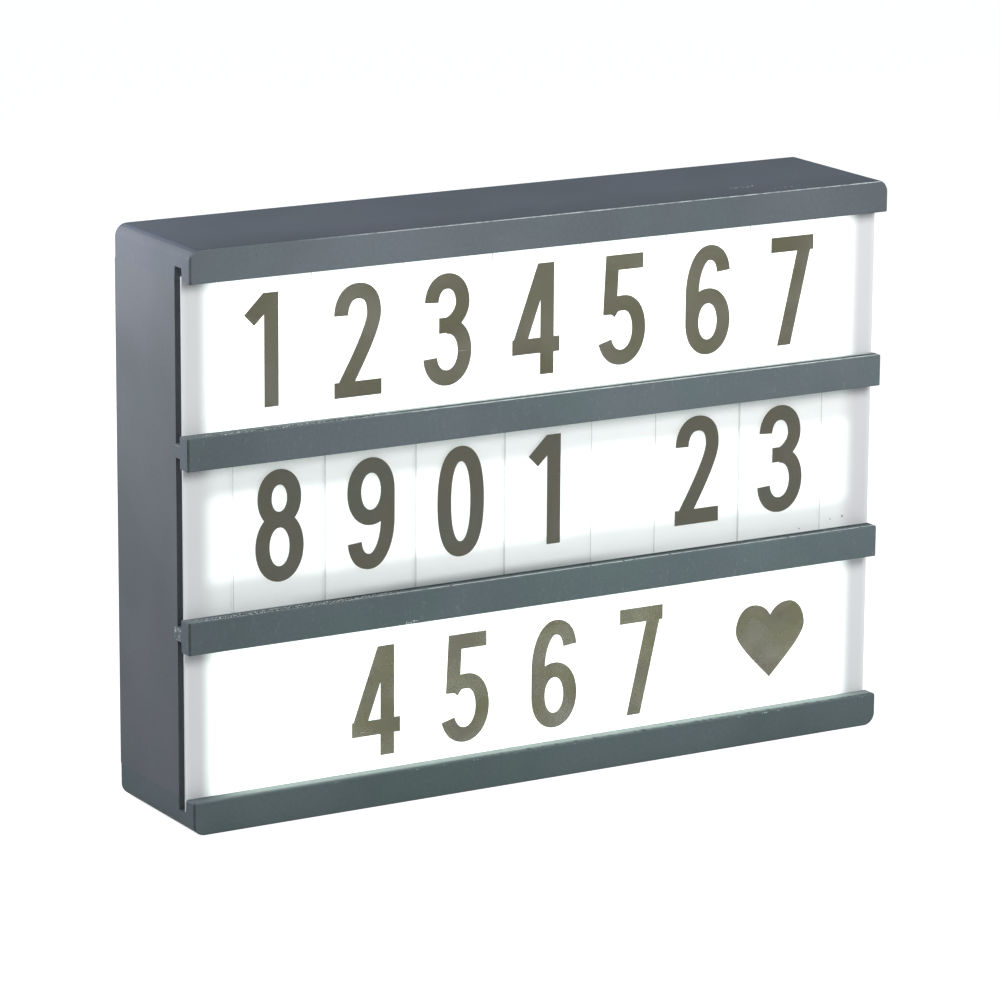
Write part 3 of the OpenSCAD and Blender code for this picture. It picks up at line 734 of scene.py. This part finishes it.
def turned(stroke):  # the same stroke upside down
    return [(-x, figure["height"] - z, -dx, -dz) for x, z, dx, dz in stroke]


def bar(*places):
    return [(x, z, 0.0, 0.0) for x, z in places]


hook = [(5.0, 23.3, -0.3, 3.2), (0.3, 28.85, -3.0, 0.0), (-5.15, 17.5, 0.0, -6.2),
        (-5.15, 9.4, 0.0, -1.5)]
lowBowl = ring(0.0, 9.4, 5.15, 7.25)

# centre lines of the strokes; each knot is x, z and the handle that leaves it, in mm
centreLines = {
    "0": [ring(0.0, 15.5, 5.15, 13.35, 0.66)],
    "1": [bar((1.6, -2.0), (1.6, 33.0)), bar((-5.0, 23.9), (1.2, 29.9))],
    "2": [[(-5.1, 22.4, 0.1, 3.7), (-0.1, 28.85, 3.0, 0.0), (4.9, 22.6, 0.0, -4.6),
           (-4.9, 1.6, -2.6, -4.6)], bar((-7.2, 2.15), (7.2, 2.15))],
    "3": [[(-5.1, 23.2, 0.2, 3.2), (-0.3, 28.85, 2.9, 0.0), (4.5, 22.8, 0.0, -3.5),
           (-0.5, 16.7, -1.6, 0.0), (-2.8, 16.7, 0.0, 0.0)],
          [(-0.4, 16.45, 3.3, 0.0), (5.15, 9.4, 0.0, -4.2),
           (-0.3, 2.15, -3.1, 0.0), (-5.5, 7.9, -0.2, 3.2)]],
    "4": [bar((3.4, -2.0), (3.4, 33.0)), bar((-7.6, 8.2), (7.4, 8.2)), bar((-5.6, 8.2), (3.4, 33.0))],
    "5": [bar((-5.0, 28.85), (6.4, 28.85)), bar((-3.45, 31.0), (-4.25, 14.4)),
          [(-4.4, 14.9, 1.5, 1.9), (0.2, 17.4, 3.0, 0.0), (5.15, 9.9, 0.0, -4.5),
           (-0.4, 2.15, -3.0, 0.0), (-5.7, 6.9, -0.7, 2.6)]],
    "6": [lowBowl, hook],
    "7": [bar((-6.9, 28.85), (7.2, 28.85)), bar((5.2, 32.0), (-2.6, -2.0))],
    "8": [ring(0.0, 23.0, 4.45, 5.85), ring(0.0, 9.6, 5.15, 7.45)],
    "9": [turned(lowBowl), turned(hook)],
}


def addLine(curve, knots):
    line = curve.splines.new("BEZIER")
    line.use_cyclic_u = knots[0] == knots[-1]
    knots = knots[:-1] if line.use_cyclic_u else knots
    line.bezier_points.add(len(knots) - 1)
    for point, (x, z, dx, dz) in zip(line.bezier_points, knots):
        point.handle_left_type = point.handle_right_type = "FREE"
        point.co = (x, z, 0.0)
        point.handle_left = (x - dx, z - dz, 0.0)
        point.handle_right = (x + dx, z + dz, 0.0)


def sweptStroke(knots, depth):
    # a thick stroke along its centre line, in the X and Y plane
    half = figure["stroke"] / 2
    section = bpy.data.curves.new("section", "CURVE")
    section.dimensions = "2D"
    section.fill_mode = "NONE"
    addLine(section, bar((-half, -depth), (half, -depth), (half, depth), (-half, depth),
                         (-half, -depth)))
    section.resolution_u = 1
    path = bpy.data.curves.new("path", "CURVE")
    path.dimensions = "3D"
    path.twist_mode = "Z_UP"
    path.resolution_u = figure["steps"]
    path.bevel_mode = "OBJECT"
    path.bevel_object = bpy.data.objects.new("section", section)
    path.use_fill_caps = True
    scene.collection.objects.link(path.bevel_object)
    addLine(path, knots)
    stroke = bpy.data.objects.new("path", path)
    scene.collection.objects.link(stroke)
    bpy.context.view_layer.update()
    shape = stroke.evaluated_get(bpy.context.evaluated_depsgraph_get())
    data = bpy.data.meshes.new_from_object(shape)
    bpy.data.objects.remove(path.bevel_object)
    bpy.data.objects.remove(stroke)
    work = bmesh.new()
    work.from_mesh(data)
    bmesh.ops.remove_doubles(work, verts=work.verts, dist=0.0001)
    bmesh.ops.recalc_face_normals(work, faces=work.faces)
    work.to_mesh(data)
    work.free()
    solid = bpy.data.objects.new("stroke", data)
    scene.collection.objects.link(solid)
    return solid


def digit(symbol):
    # strokes of unequal depth are united and cut through the middle, which leaves one outline
    solids = [sweptStroke(knots, 1.0 + 0.4 * count)
              for count, knots in enumerate(centreLines[symbol])]
    for other in solids[1:]:
        union = solids[0].modifiers.new("union", "BOOLEAN")
        union.operation = "UNION"
        union.solver = "EXACT"
        union.object = other
    bpy.context.view_layer.update()
    work = bmesh.new()
    work.from_mesh(solids[0].evaluated_get(bpy.context.evaluated_depsgraph_get()).to_mesh())
    for solid in solids:
        bpy.data.objects.remove(solid)
    everything = work.verts[:] + work.edges[:] + work.faces[:]
    bmesh.ops.bisect_plane(work, geom=everything, plane_co=(0.0, 0.0, 0.1),
                           plane_no=(0.0, 0.0, 1.0), clear_outer=True, clear_inner=True)
    bmesh.ops.remove_doubles(work, verts=work.verts, dist=0.0005)
    bmesh.ops.triangle_fill(work, use_beauty=True, edges=work.edges[:])
    for level, side in ((0.0, -1.0), (figure["height"], 1.0)):
        everything = work.verts[:] + work.edges[:] + work.faces[:]
        bmesh.ops.bisect_plane(work, geom=everything, plane_co=(0.0, level, 0.0),
                               plane_no=(0.0, side, 0.0), clear_outer=True)
    bmesh.ops.dissolve_limit(work, angle_limit=math.radians(0.5), verts=work.verts,
                             edges=work.edges)
    return work


def heart():
    half, high = figure["heartWidth"] / 2, figure["heartHeight"]
    right = [(half, high * 0.67, 0.0, high * 0.18), (half * 0.52, high, -half * 0.27, 0.0)]
    left = [(-x, z, dx, -dz) for x, z, dx, dz in reversed(right)]
    data = bpy.data.curves.new("heart", "CURVE")
    data.dimensions = "2D"
    data.fill_mode = "FRONT"
    data.resolution_u = figure["steps"]
    tip, cleft = bar((0.0, 0.0), (0.0, high * 0.84))
    addLine(data, [tip, *right, cleft, *left, tip])
    line = data.splines[0].bezier_points
    line[0].handle_right = (half * 0.30, high * 0.17, 0.0)
    line[0].handle_left = (-half * 0.30, high * 0.17, 0.0)
    line[3].handle_left = (half * 0.07, high * 0.92, 0.0)
    line[3].handle_right = (-half * 0.07, high * 0.92, 0.0)
    outline = bpy.data.objects.new("heart", data)
    scene.collection.objects.link(outline)
    bpy.context.view_layer.update()
    work = bmesh.new()
    work.from_mesh(outline.evaluated_get(bpy.context.evaluated_depsgraph_get()).to_mesh())
    bpy.data.objects.remove(outline)
    bmesh.ops.remove_doubles(work, verts=work.verts, dist=0.0005)
    return work


def makeTiles():
    filmMaterial = filmLook()
    for row, symbols in tileRows.items():
        inkMaterial = inkLook(row)
        for number, symbol in enumerate(symbols, 1):
            tile = f"tile_{row}_{number}"
            dress(tile, filmMaterial)
            work = heart() if symbol == "h" else digit(symbol)
            rise = figure["heartRise"] if symbol == "h" else figure["baseline"][row]
            bmesh.ops.rotate(work, verts=work.verts, matrix=Matrix.Rotation(math.radians(90), 3, "X"))
            slab(work, -ink["thickness"])
            low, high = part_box(tile)
            bmesh.ops.scale(work, verts=work.verts, vec=(mm, mm, mm))
            front = max(vert.co.y for vert in work.verts)
            bmesh.ops.translate(work, verts=work.verts, vec=(
                (low.x + high.x) / 2, low.y - front + 0.005 * mm, low.z + rise * mm))
            piece = newPiece(f"figure_{row}_{number}", work, inkMaterial, bodyOf[tile])
            piece.visible_shadow = False  # the lit sheet behind outshines it


makeTiles()
print("tiles ready")


# Back panel, battery box and switch plate

plastic = {
    "tone": (0.022, 0.022, 0.024),
    "rubbedTone": (0.06, 0.06, 0.063),
    "roughness": 0.46,
    "grain": 0.35,  # size of the moulded texture
    "depth": 0.012,
    "rounding": 0.22,
}

panel = {
    "tone": (0.150, 0.168, 0.182),
    "fibreTone": (0.120, 0.136, 0.147),
    "blotchTone": (0.12, 0.15, 0.155),
    "blotchSize": 22.0,
    "bareTone": (0.22, 0.13, 0.07),  # hardboard where a cut bares it
    "rounding": 0.2,
}


def plasticLook(name):
    look = Look(name)
    point = look.point()
    grain = look.noise(point, plastic["grain"], 2.0)
    scuffs = look.noise(look.stretched(point, 0.4, 1.0, 2.5), 3.0, 4.0, 0.7)
    rubbed = look.rise(scuffs, 0.58, 0.8)
    tone = look.mix(rubbed * 0.35, plastic["tone"], plastic["rubbedTone"])
    return look.surface(Base_Color=tone, Roughness=plastic["roughness"] + rubbed * 0.18,
                        Normal=look.bump(grain, plastic["depth"]))


def panelLook():
    look = Look("panelPaint")
    point = look.point()
    fibres = look.noise(look.stretched(point, 0.35, 1.0, 1.0), 1.1, 5.0, 0.7)
    tone = look.mix(look.rise(fibres, 0.42, 0.72), panel["tone"], panel["fibreTone"])
    blotches = look.noise(point, panel["blotchSize"], 2.0)
    tone = look.mix(blotches * 0.3, tone, panel["blotchTone"])
    bare = abs(look.facing()[1]) < 0.6
    fuzz = look.noise(point, 0.5, 3.0)
    tone = look.mix(bare * (0.55 + fuzz * 0.4), tone, panel["bareTone"])
    return look.surface(Base_Color=tone, Roughness=0.62 + fibres * 0.12, Specular_IOR_Level=0.3,
                        Normal=look.bump(fibres, 0.02))


def makeBack():
    black = plasticLook("blackPlastic")
    softened("back_panel", panelLook(), panel["rounding"], segments=2)
    for node in ("battery_box", "battery_cover", "switch_plate"):
        softened(node, black, plastic["rounding"], segments=2)
    softened("switch_slider", plasticLook("switchPlastic"), 0.12, segments=2)


makeBack()
print("back ready")


# Wood, metal and the white sheet inside the case

wood = {
    "tone": (0.60, 0.43, 0.27),
    "ringTone": (0.44, 0.28, 0.15),
    "fibreTone": (0.30, 0.18, 0.09),
    "ring": 3.2,  # distance between year rings
    "squeeze": 0.06,  # of the pattern along the grain
    "bend": 4.0,  # by how many rings they wander
    "bendSize": 14.0,
    "rounding": 0.3,
}

metal = {
    "zinc": (0.60, 0.61, 0.60),
    "nickel": (0.66, 0.62, 0.55),
    "tin": (0.70, 0.70, 0.70),
    "gold": (0.75, 0.55, 0.24),
    "stainTone": (0.40, 0.38, 0.34),
    "roughness": 0.27,
    "scratch": 0.25,  # share that fine scratches add to the roughness
}

reflector = {
    "tone": (0.84, 0.85, 0.86),
    "scuffTone": (0.70, 0.71, 0.73),
    "roughness": 0.34,
}


def woodLook(name, squeeze):  # squeeze is small along the grain
    look = Look(name)
    point = look.stretched(look.point(), *squeeze)
    bend = look.noise(point, wood["bendSize"], 2.0)
    y, z = look.axes(point)[1:]
    ring = look.maths("PINGPONG", (y + z * 0.6) / wood["ring"] + bend * wood["bend"], 1.0)
    fibre = look.noise(look.stretched(point, 0.3, 1.0, 1.0), 0.5, 4.0, 0.7)
    tone = look.mix(look.rise(ring, 0.15, 1.0) * 0.6, wood["tone"], wood["ringTone"])
    tone = look.mix(look.rise(fibre, 0.45, 0.75) * 0.35, tone, wood["fibreTone"])
    return look.surface(Base_Color=tone, Roughness=0.6 + fibre * 0.15, Specular_IOR_Level=0.3,
                        Normal=look.bump(fibre, 0.03))


def metalLook(name, tone, roughness=metal["roughness"], brushed=(1.0, 1.0, 1.0)):
    look = Look(name)
    point = look.point()
    fine = look.noise(look.stretched(point, *brushed), 0.25, 3.0, 0.7)
    stain = look.noise(point, 3.5, 3.0)
    dull = look.mix(look.rise(stain, 0.5, 0.8) * 0.35, tone, metal["stainTone"])
    return look.surface(Base_Color=dull, Metallic=1.0,
                        Roughness=roughness + (fine - 0.5) * metal["scratch"] + stain * 0.06,
                        Normal=look.bump(fine, 0.003))


def sheetLook():
    look = Look("reflectorSheet")
    point = look.point()
    scuffs = look.noise(look.stretched(point, 0.3, 1.0, 1.0), 2.0, 4.0, 0.7)
    tone = look.mix(look.rise(scuffs, 0.55, 0.8) * 0.25, reflector["tone"], reflector["scuffTone"])
    return look.surface(Base_Color=tone, Roughness=reflector["roughness"] + scuffs * 0.1,
                        Normal=look.bump(look.noise(point, 9.0, 1.0), 0.02))


def makeInside():
    beam = woodLook("beamWood", (wood["squeeze"], 1.0, 1.0))
    block = woodLook("blockWood", (1.0, wood["squeeze"], 1.0))
    for node in ("upper_cross_bar", "lower_cross_bar"):
        softened(node, beam, wood["rounding"], segments=2)
    softened("corner_blocks", block, wood["rounding"], segments=2)
    dress("reflector_sheet", sheetLook())
    zinc = metalLook("zinc", metal["zinc"])
    softened("panel_screws", zinc, 0.14, segments=2)
    softened("board_screws", zinc, 0.10, segments=2)


makeInside()
print("inside ready")


# Cells and their contacts

cell = {
    "wrap": (0.012, 0.075, 0.085),
    "cloudTone": (0.02, 0.10, 0.11),
    "bandTone": (0.62, 0.64, 0.62),
    "plusTone": (0.05, 0.05, 0.055),
    "markTone": (0.75, 0.77, 0.76),
    "bareEnd": 1.4,  # how much of the positive end the wrap leaves bare
    "band": (3.0, 9.5),  # from the positive end
    "mark": 6.2,  # middle of the plus sign, from the positive end
    "markArm": 2.0,
    "markWidth": 0.32,
    "minus": 45.5,
    "roughness": 0.24,
}


def cellLook(node):
    # the positive end is the one with the nub, where the wrap's pale band lies
    low, high = (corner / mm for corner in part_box(node))
    middle = (low + high) / 2
    plusLeft = node != "battery_2"
    look = Look(node + "_wrap")
    point = look.point()
    x, _, z = look.axes(point)
    fromPlus = x - low.x if plusLeft else high.x - x
    facing = look.facing()
    bare = (abs(facing[0]) > 0.75).atLeast(fromPlus < cell["bareEnd"])
    band = look.band(fromPlus, *cell["band"], 0.15)
    away = abs(z - middle.z)
    wide = (abs(fromPlus - cell["mark"]) < cell["markArm"]) * (away < cell["markWidth"])
    tall = (abs(fromPlus - cell["mark"]) < cell["markWidth"]) * (away < cell["markArm"])
    minus = (away < cell["markArm"]) * (abs(fromPlus - cell["minus"]) < cell["markWidth"])
    tone = look.mix(look.noise(point, 8.0, 2.0) * 0.3, cell["wrap"], cell["cloudTone"])
    tone = look.mix(band, tone, cell["bandTone"])
    tone = look.mix(wide.atLeast(tall) * (facing[1] > 0.3), tone, cell["plusTone"])
    tone = look.mix(minus * (facing[1] > 0.3), tone, cell["markTone"])
    tone = look.mix(bare, tone, metal["nickel"])
    scratch = look.noise(look.stretched(point, 0.4, 1.0, 1.0), 0.9, 3.0, 0.7)
    return look.surface(Base_Color=tone, Metallic=bare,
                        Roughness=cell["roughness"] + scratch * 0.14,
                        Normal=look.bump(scratch, 0.004))


def makeCells():
    for node in ("battery_1", "battery_2", "battery_3"):
        dress(node, cellLook(node))
    nickel = metalLook("nickel", metal["nickel"], brushed=(1.0, 1.0, 0.15))
    softened("contact_plates", nickel, 0.08, segments=2)
    dress("contact_springs", metalLook("springWire", metal["nickel"], 0.22))


makeCells()
print("cells ready")


# Circuit board with the switch and the socket

board = {
    "mask": (0.010, 0.085, 0.040),
    "cloudTone": (0.014, 0.11, 0.05),
    "trackTone": (0.022, 0.150, 0.070),
    "edgeTone": (0.34, 0.33, 0.20),
    "trackPitch": 2.6,
    "trackWidth": 0.28,
    "padRadius": 1.15,
    "padPitch": 4.0,
    "padRow": 7.0,  # of the pads above and below the middle of the board
    "padFrom": 12.0,  # none nearer to the middle than this
    "padShift": 2.0,
    "roughness": 0.30,
}

resistor = {
    "bodyTone": (0.62, 0.50, 0.34),
    "cloudTone": (0.55, 0.43, 0.28),
    "length": 6.4,
    "bandWidth": 0.36,
    # place along the body and colour of each band
    "bands": ((-2.2, (0.16, 0.055, 0.025)), (-1.0, (0.02, 0.02, 0.02)), (0.2, (0.45, 0.03, 0.02)),
              (2.1, (0.55, 0.38, 0.10))),
}

tongue = {
    "tone": (0.02, 0.02, 0.022),
    "cloudTone": (0.035, 0.035, 0.038),
    "pitch": 1.3,  # of its contacts
    "width": 0.26,  # half a contact, as a share of the pitch
}

marks = {
    "rise": 5.2,  # above the switch's middle
    "side": 3.0,  # from the switch's middle
    "size": 2.2,
    "line": 0.42,
    "height": 0.12,
    "sunk": 0.02,  # into the floor, so that no gap shows
    "tone": (0.55, 0.56, 0.56),
    "wornTone": (0.30, 0.30, 0.31),
}


def boardLook():
    look = Look("circuitBoard")
    point = look.point()
    x, _, z = look.axes(point)
    low, high = (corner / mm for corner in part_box("circuit_board"))
    middle = (low + high) / 2
    outline = abs(look.facing()[1]) < 0.5
    wander = look.maths("ROUND", look.noise(look.stretched(point, 1.0, 0.0, 1.0), 7.0, 1.0) * 6.0)
    lane = look.maths("PINGPONG", (z + wander * 1.3) / board["trackPitch"], 0.5)
    track = (lane < board["trackWidth"] / board["trackPitch"]) \
        * (look.noise(look.moved(point, 60.0, 0.0, 0.0), 6.0, 1.0) > 0.42)
    across = (x - middle.x + board["padShift"]) / board["padPitch"]
    padX = look.maths("PINGPONG", across, 0.5) * board["padPitch"]
    padZ = abs(abs(z - middle.z) - board["padRow"])
    pad = look.maths("SQRT", padX * padX + padZ * padZ) < board["padRadius"]
    pad = pad * (abs(x - middle.x) > board["padFrom"])
    tone = look.mix(look.noise(point, 5.0, 2.0) * 0.4, board["mask"], board["cloudTone"])
    tone = look.mix(track, tone, board["trackTone"])
    tone = look.mix(pad, tone, metal["gold"])
    tone = look.mix(outline, tone, board["edgeTone"])
    height = track.atLeast(pad) * (1.0 - outline)
    return look.surface(Base_Color=tone, Metallic=pad * (1.0 - outline),
                        Roughness=board["roughness"] + outline * 0.35, Normal=look.bump(height, 0.03))


def resistorLook():
    look = Look("resistor")
    point = look.point()
    x = look.axes(point)[0]
    low, high = (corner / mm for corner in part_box("resistor"))
    fromMiddle = x - (low.x + high.x) / 2
    lead = abs(fromMiddle) > resistor["length"] / 2 - 0.05
    tone = look.mix(look.noise(point, 1.2, 2.0) * 0.3, resistor["bodyTone"], resistor["cloudTone"])
    for place, colour in resistor["bands"]:
        tone = look.mix(abs(fromMiddle - place) < resistor["bandWidth"] / 2, tone, colour)
    tone = look.mix(lead, tone, metal["tin"])
    return look.surface(Base_Color=tone, Metallic=lead,
                        Roughness=0.33 + look.noise(point, 0.5, 2.0) * 0.1)


def tongueLook():
    look = Look("socketTongue")
    point = look.point()
    lane = look.maths("PINGPONG", look.axes(point)[0] / tongue["pitch"], 0.5) < tongue["width"]
    contact = lane * (abs(look.facing()[2]) > 0.5)
    tone = look.mix(look.noise(point, 0.8, 2.0) * 0.5, tongue["tone"], tongue["cloudTone"])
    return look.surface(Base_Color=look.mix(contact, tone, metal["gold"]), Metallic=contact,
                        Roughness=0.4 - contact * 0.15, Normal=look.bump(contact, 0.04))


def markLook():
    look = Look("switchMarks")
    worn = look.rise(look.noise(look.point(), 0.5, 3.0), 0.35, 0.75)
    tone = look.mix(worn * 0.5, marks["tone"], marks["wornTone"])
    return look.surface(Base_Color=tone, Roughness=0.5 + worn * 0.15)


def makeMarks():
    # a raised bar on the side where the switch is on, and a ring on the other
    material = markLook()
    low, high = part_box("switch_frame")
    middle = (low + high) / 2
    floorY = highest("socket_shell").y  # the shell ends level with the floor of the cup
    for name, side in (("mark_on", 1.0), ("mark_off", -1.0)):
        work = bmesh.new()
        if name == "mark_on":
            bmesh.ops.create_cube(work, size=1.0)
            bmesh.ops.scale(work, verts=work.verts,
                            vec=(marks["line"] * mm, marks["height"] * mm, marks["size"] * mm))
        else:
            radius = marks["size"] / 2 * mm
            bmesh.ops.create_circle(work, segments=32, radius=radius)
            edges = bmesh.ops.extrude_edge_only(work, edges=work.edges)["geom"]
            inner = [item for item in edges if isinstance(item, bmesh.types.BMVert)]
            share = 1.0 - marks["line"] * mm / radius
            bmesh.ops.scale(work, verts=inner, vec=(share, share, 1.0))
            bmesh.ops.rotate(work, verts=work.verts, matrix=Matrix.Rotation(math.radians(90), 3, "X"))
            slab(work, marks["height"] * mm)
            bmesh.ops.translate(work, verts=work.verts, vec=(0.0, -marks["height"] / 2 * mm, 0.0))
        bmesh.ops.translate(work, verts=work.verts, vec=(
            middle.x + side * marks["side"] * mm,
            floorY + (marks["height"] / 2 - marks["sunk"]) * mm,
            middle.z + marks["rise"] * mm))
        newPiece(name, work, material, bodyOf["switch_plate"])


def makeBoard():
    dress("circuit_board", boardLook())
    dress("resistor", resistorLook())
    softened("switch_frame", metalLook("switchFrame", metal["tin"], 0.3), 0.08, segments=2)
    dress("socket_shell", metalLook("socketShell", metal["tin"], 0.2, (1.0, 0.15, 1.0)))
    dress("socket_tongue", tongueLook())
    makeMarks()


makeBoard()
print("board ready")


# Lamp strips and wires

strip = {
    "lampCount": 5,
    "lampWidth": 5.0,
    "mask": (0.80, 0.81, 0.80),
    "cloudTone": (0.72, 0.72, 0.70),
    "copper": (0.62, 0.34, 0.18),
    "phosphor": (0.85, 0.68, 0.16),
    "housing": (0.82, 0.82, 0.80),
    "housingCloud": (0.75, 0.75, 0.72),
    "phosphorRadius": 1.9,
    "pad": (3.0, 4.0),  # from a lamp's middle, along X
    "padHalf": 1.4,
    "seam": 0.12,  # half the width of the gap where a strip can be cut
    "seamFrom": 1.2,  # from the strip's middle line
    "glow": (1.0, 0.95, 0.80),
    "power": 0.9,
}

wires = {
    "red": (0.42, 0.018, 0.014),
    "black": (0.016, 0.016, 0.018),
    "dustTone": (0.22, 0.20, 0.19),
    "roughness": 0.36,
}


def lampPlaces():  # the X of the first lamp of a strip, and the distance to the next
    low, high = (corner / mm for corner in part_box("lamps"))
    pitch = (high.x - low.x - strip["lampWidth"]) / (strip["lampCount"] - 1)
    return low.x + strip["lampWidth"] / 2, pitch


def stripLook(name):
    look = Look(name)
    point = look.point()
    x, _, z = look.axes(point)
    first, pitch = lampPlaces()
    low, high = (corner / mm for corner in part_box(name))
    fromLamp = look.maths("PINGPONG", (x - first) / pitch, 0.5) * pitch
    away = abs(z - (low.z + high.z) / 2)
    front = look.facing()[1] < -0.5
    padFrom, padTo = strip["pad"]
    pad = (fromLamp < padTo) * (fromLamp > padFrom) * (away < strip["padHalf"])
    seam = (fromLamp > pitch / 2 - strip["seam"]) * (away > strip["seamFrom"])
    tone = look.mix(look.noise(point, 6.0, 2.0) * 0.3, strip["mask"], strip["cloudTone"])
    tone = look.mix((pad + seam).atMost(1.0) * front, tone, strip["copper"])
    return look.surface(Base_Color=tone, Metallic=pad * front,
                        Roughness=0.38 + look.noise(point, 0.7, 2.0) * 0.12)


def lampLook():
    look = Look("lamp")
    point = look.point()
    x, _, z = look.axes(point)
    first, pitch = lampPlaces()
    fromLamp = look.maths("PINGPONG", (x - first) / pitch, 0.5) * pitch
    fromUpper, fromLower = (abs(z - (lowest(name).z + highest(name).z) / 2 / mm)
                            for name in ("upper_lamp_strip", "lower_lamp_strip"))
    away = fromUpper.atMost(fromLower)
    disc = (look.maths("SQRT", fromLamp * fromLamp + away * away) < strip["phosphorRadius"]) \
        * (look.facing()[1] < -0.5)
    tone = look.mix(look.noise(point, 1.0, 2.0) * 0.2, strip["housing"], strip["housingCloud"])
    tone = look.mix(disc, tone, strip["phosphor"])
    return look.surface(Base_Color=tone, Roughness=0.32 + disc * 0.2,
                        Emission_Color=look.mix(disc, (0.0, 0.0, 0.0), strip["glow"]),
                        Emission_Strength=strip["power"], Normal=look.bump(1.0 - disc, 0.05))


def wireLook(name, tone):
    look = Look(name)
    point = look.point()
    dust = look.rise(look.noise(point, 3.0, 3.0), 0.5, 0.8)
    colour = look.mix(dust * 0.25, tone, wires["dustTone"])
    return look.surface(Base_Color=colour, Roughness=wires["roughness"] + dust * 0.15,
                        Normal=look.bump(look.noise(point, 0.6, 2.0), 0.006))


def makeLampsAndWires():
    for name in ("upper_lamp_strip", "lower_lamp_strip"):
        dress(name, stripLook(name))
    dress("lamps", lampLook())
    dress("red_wires", wireLook("redWire", wires["red"]))
    dress("black_wires", wireLook("blackWire", wires["black"]))


makeLampsAndWires()
print("lamps and wires ready")
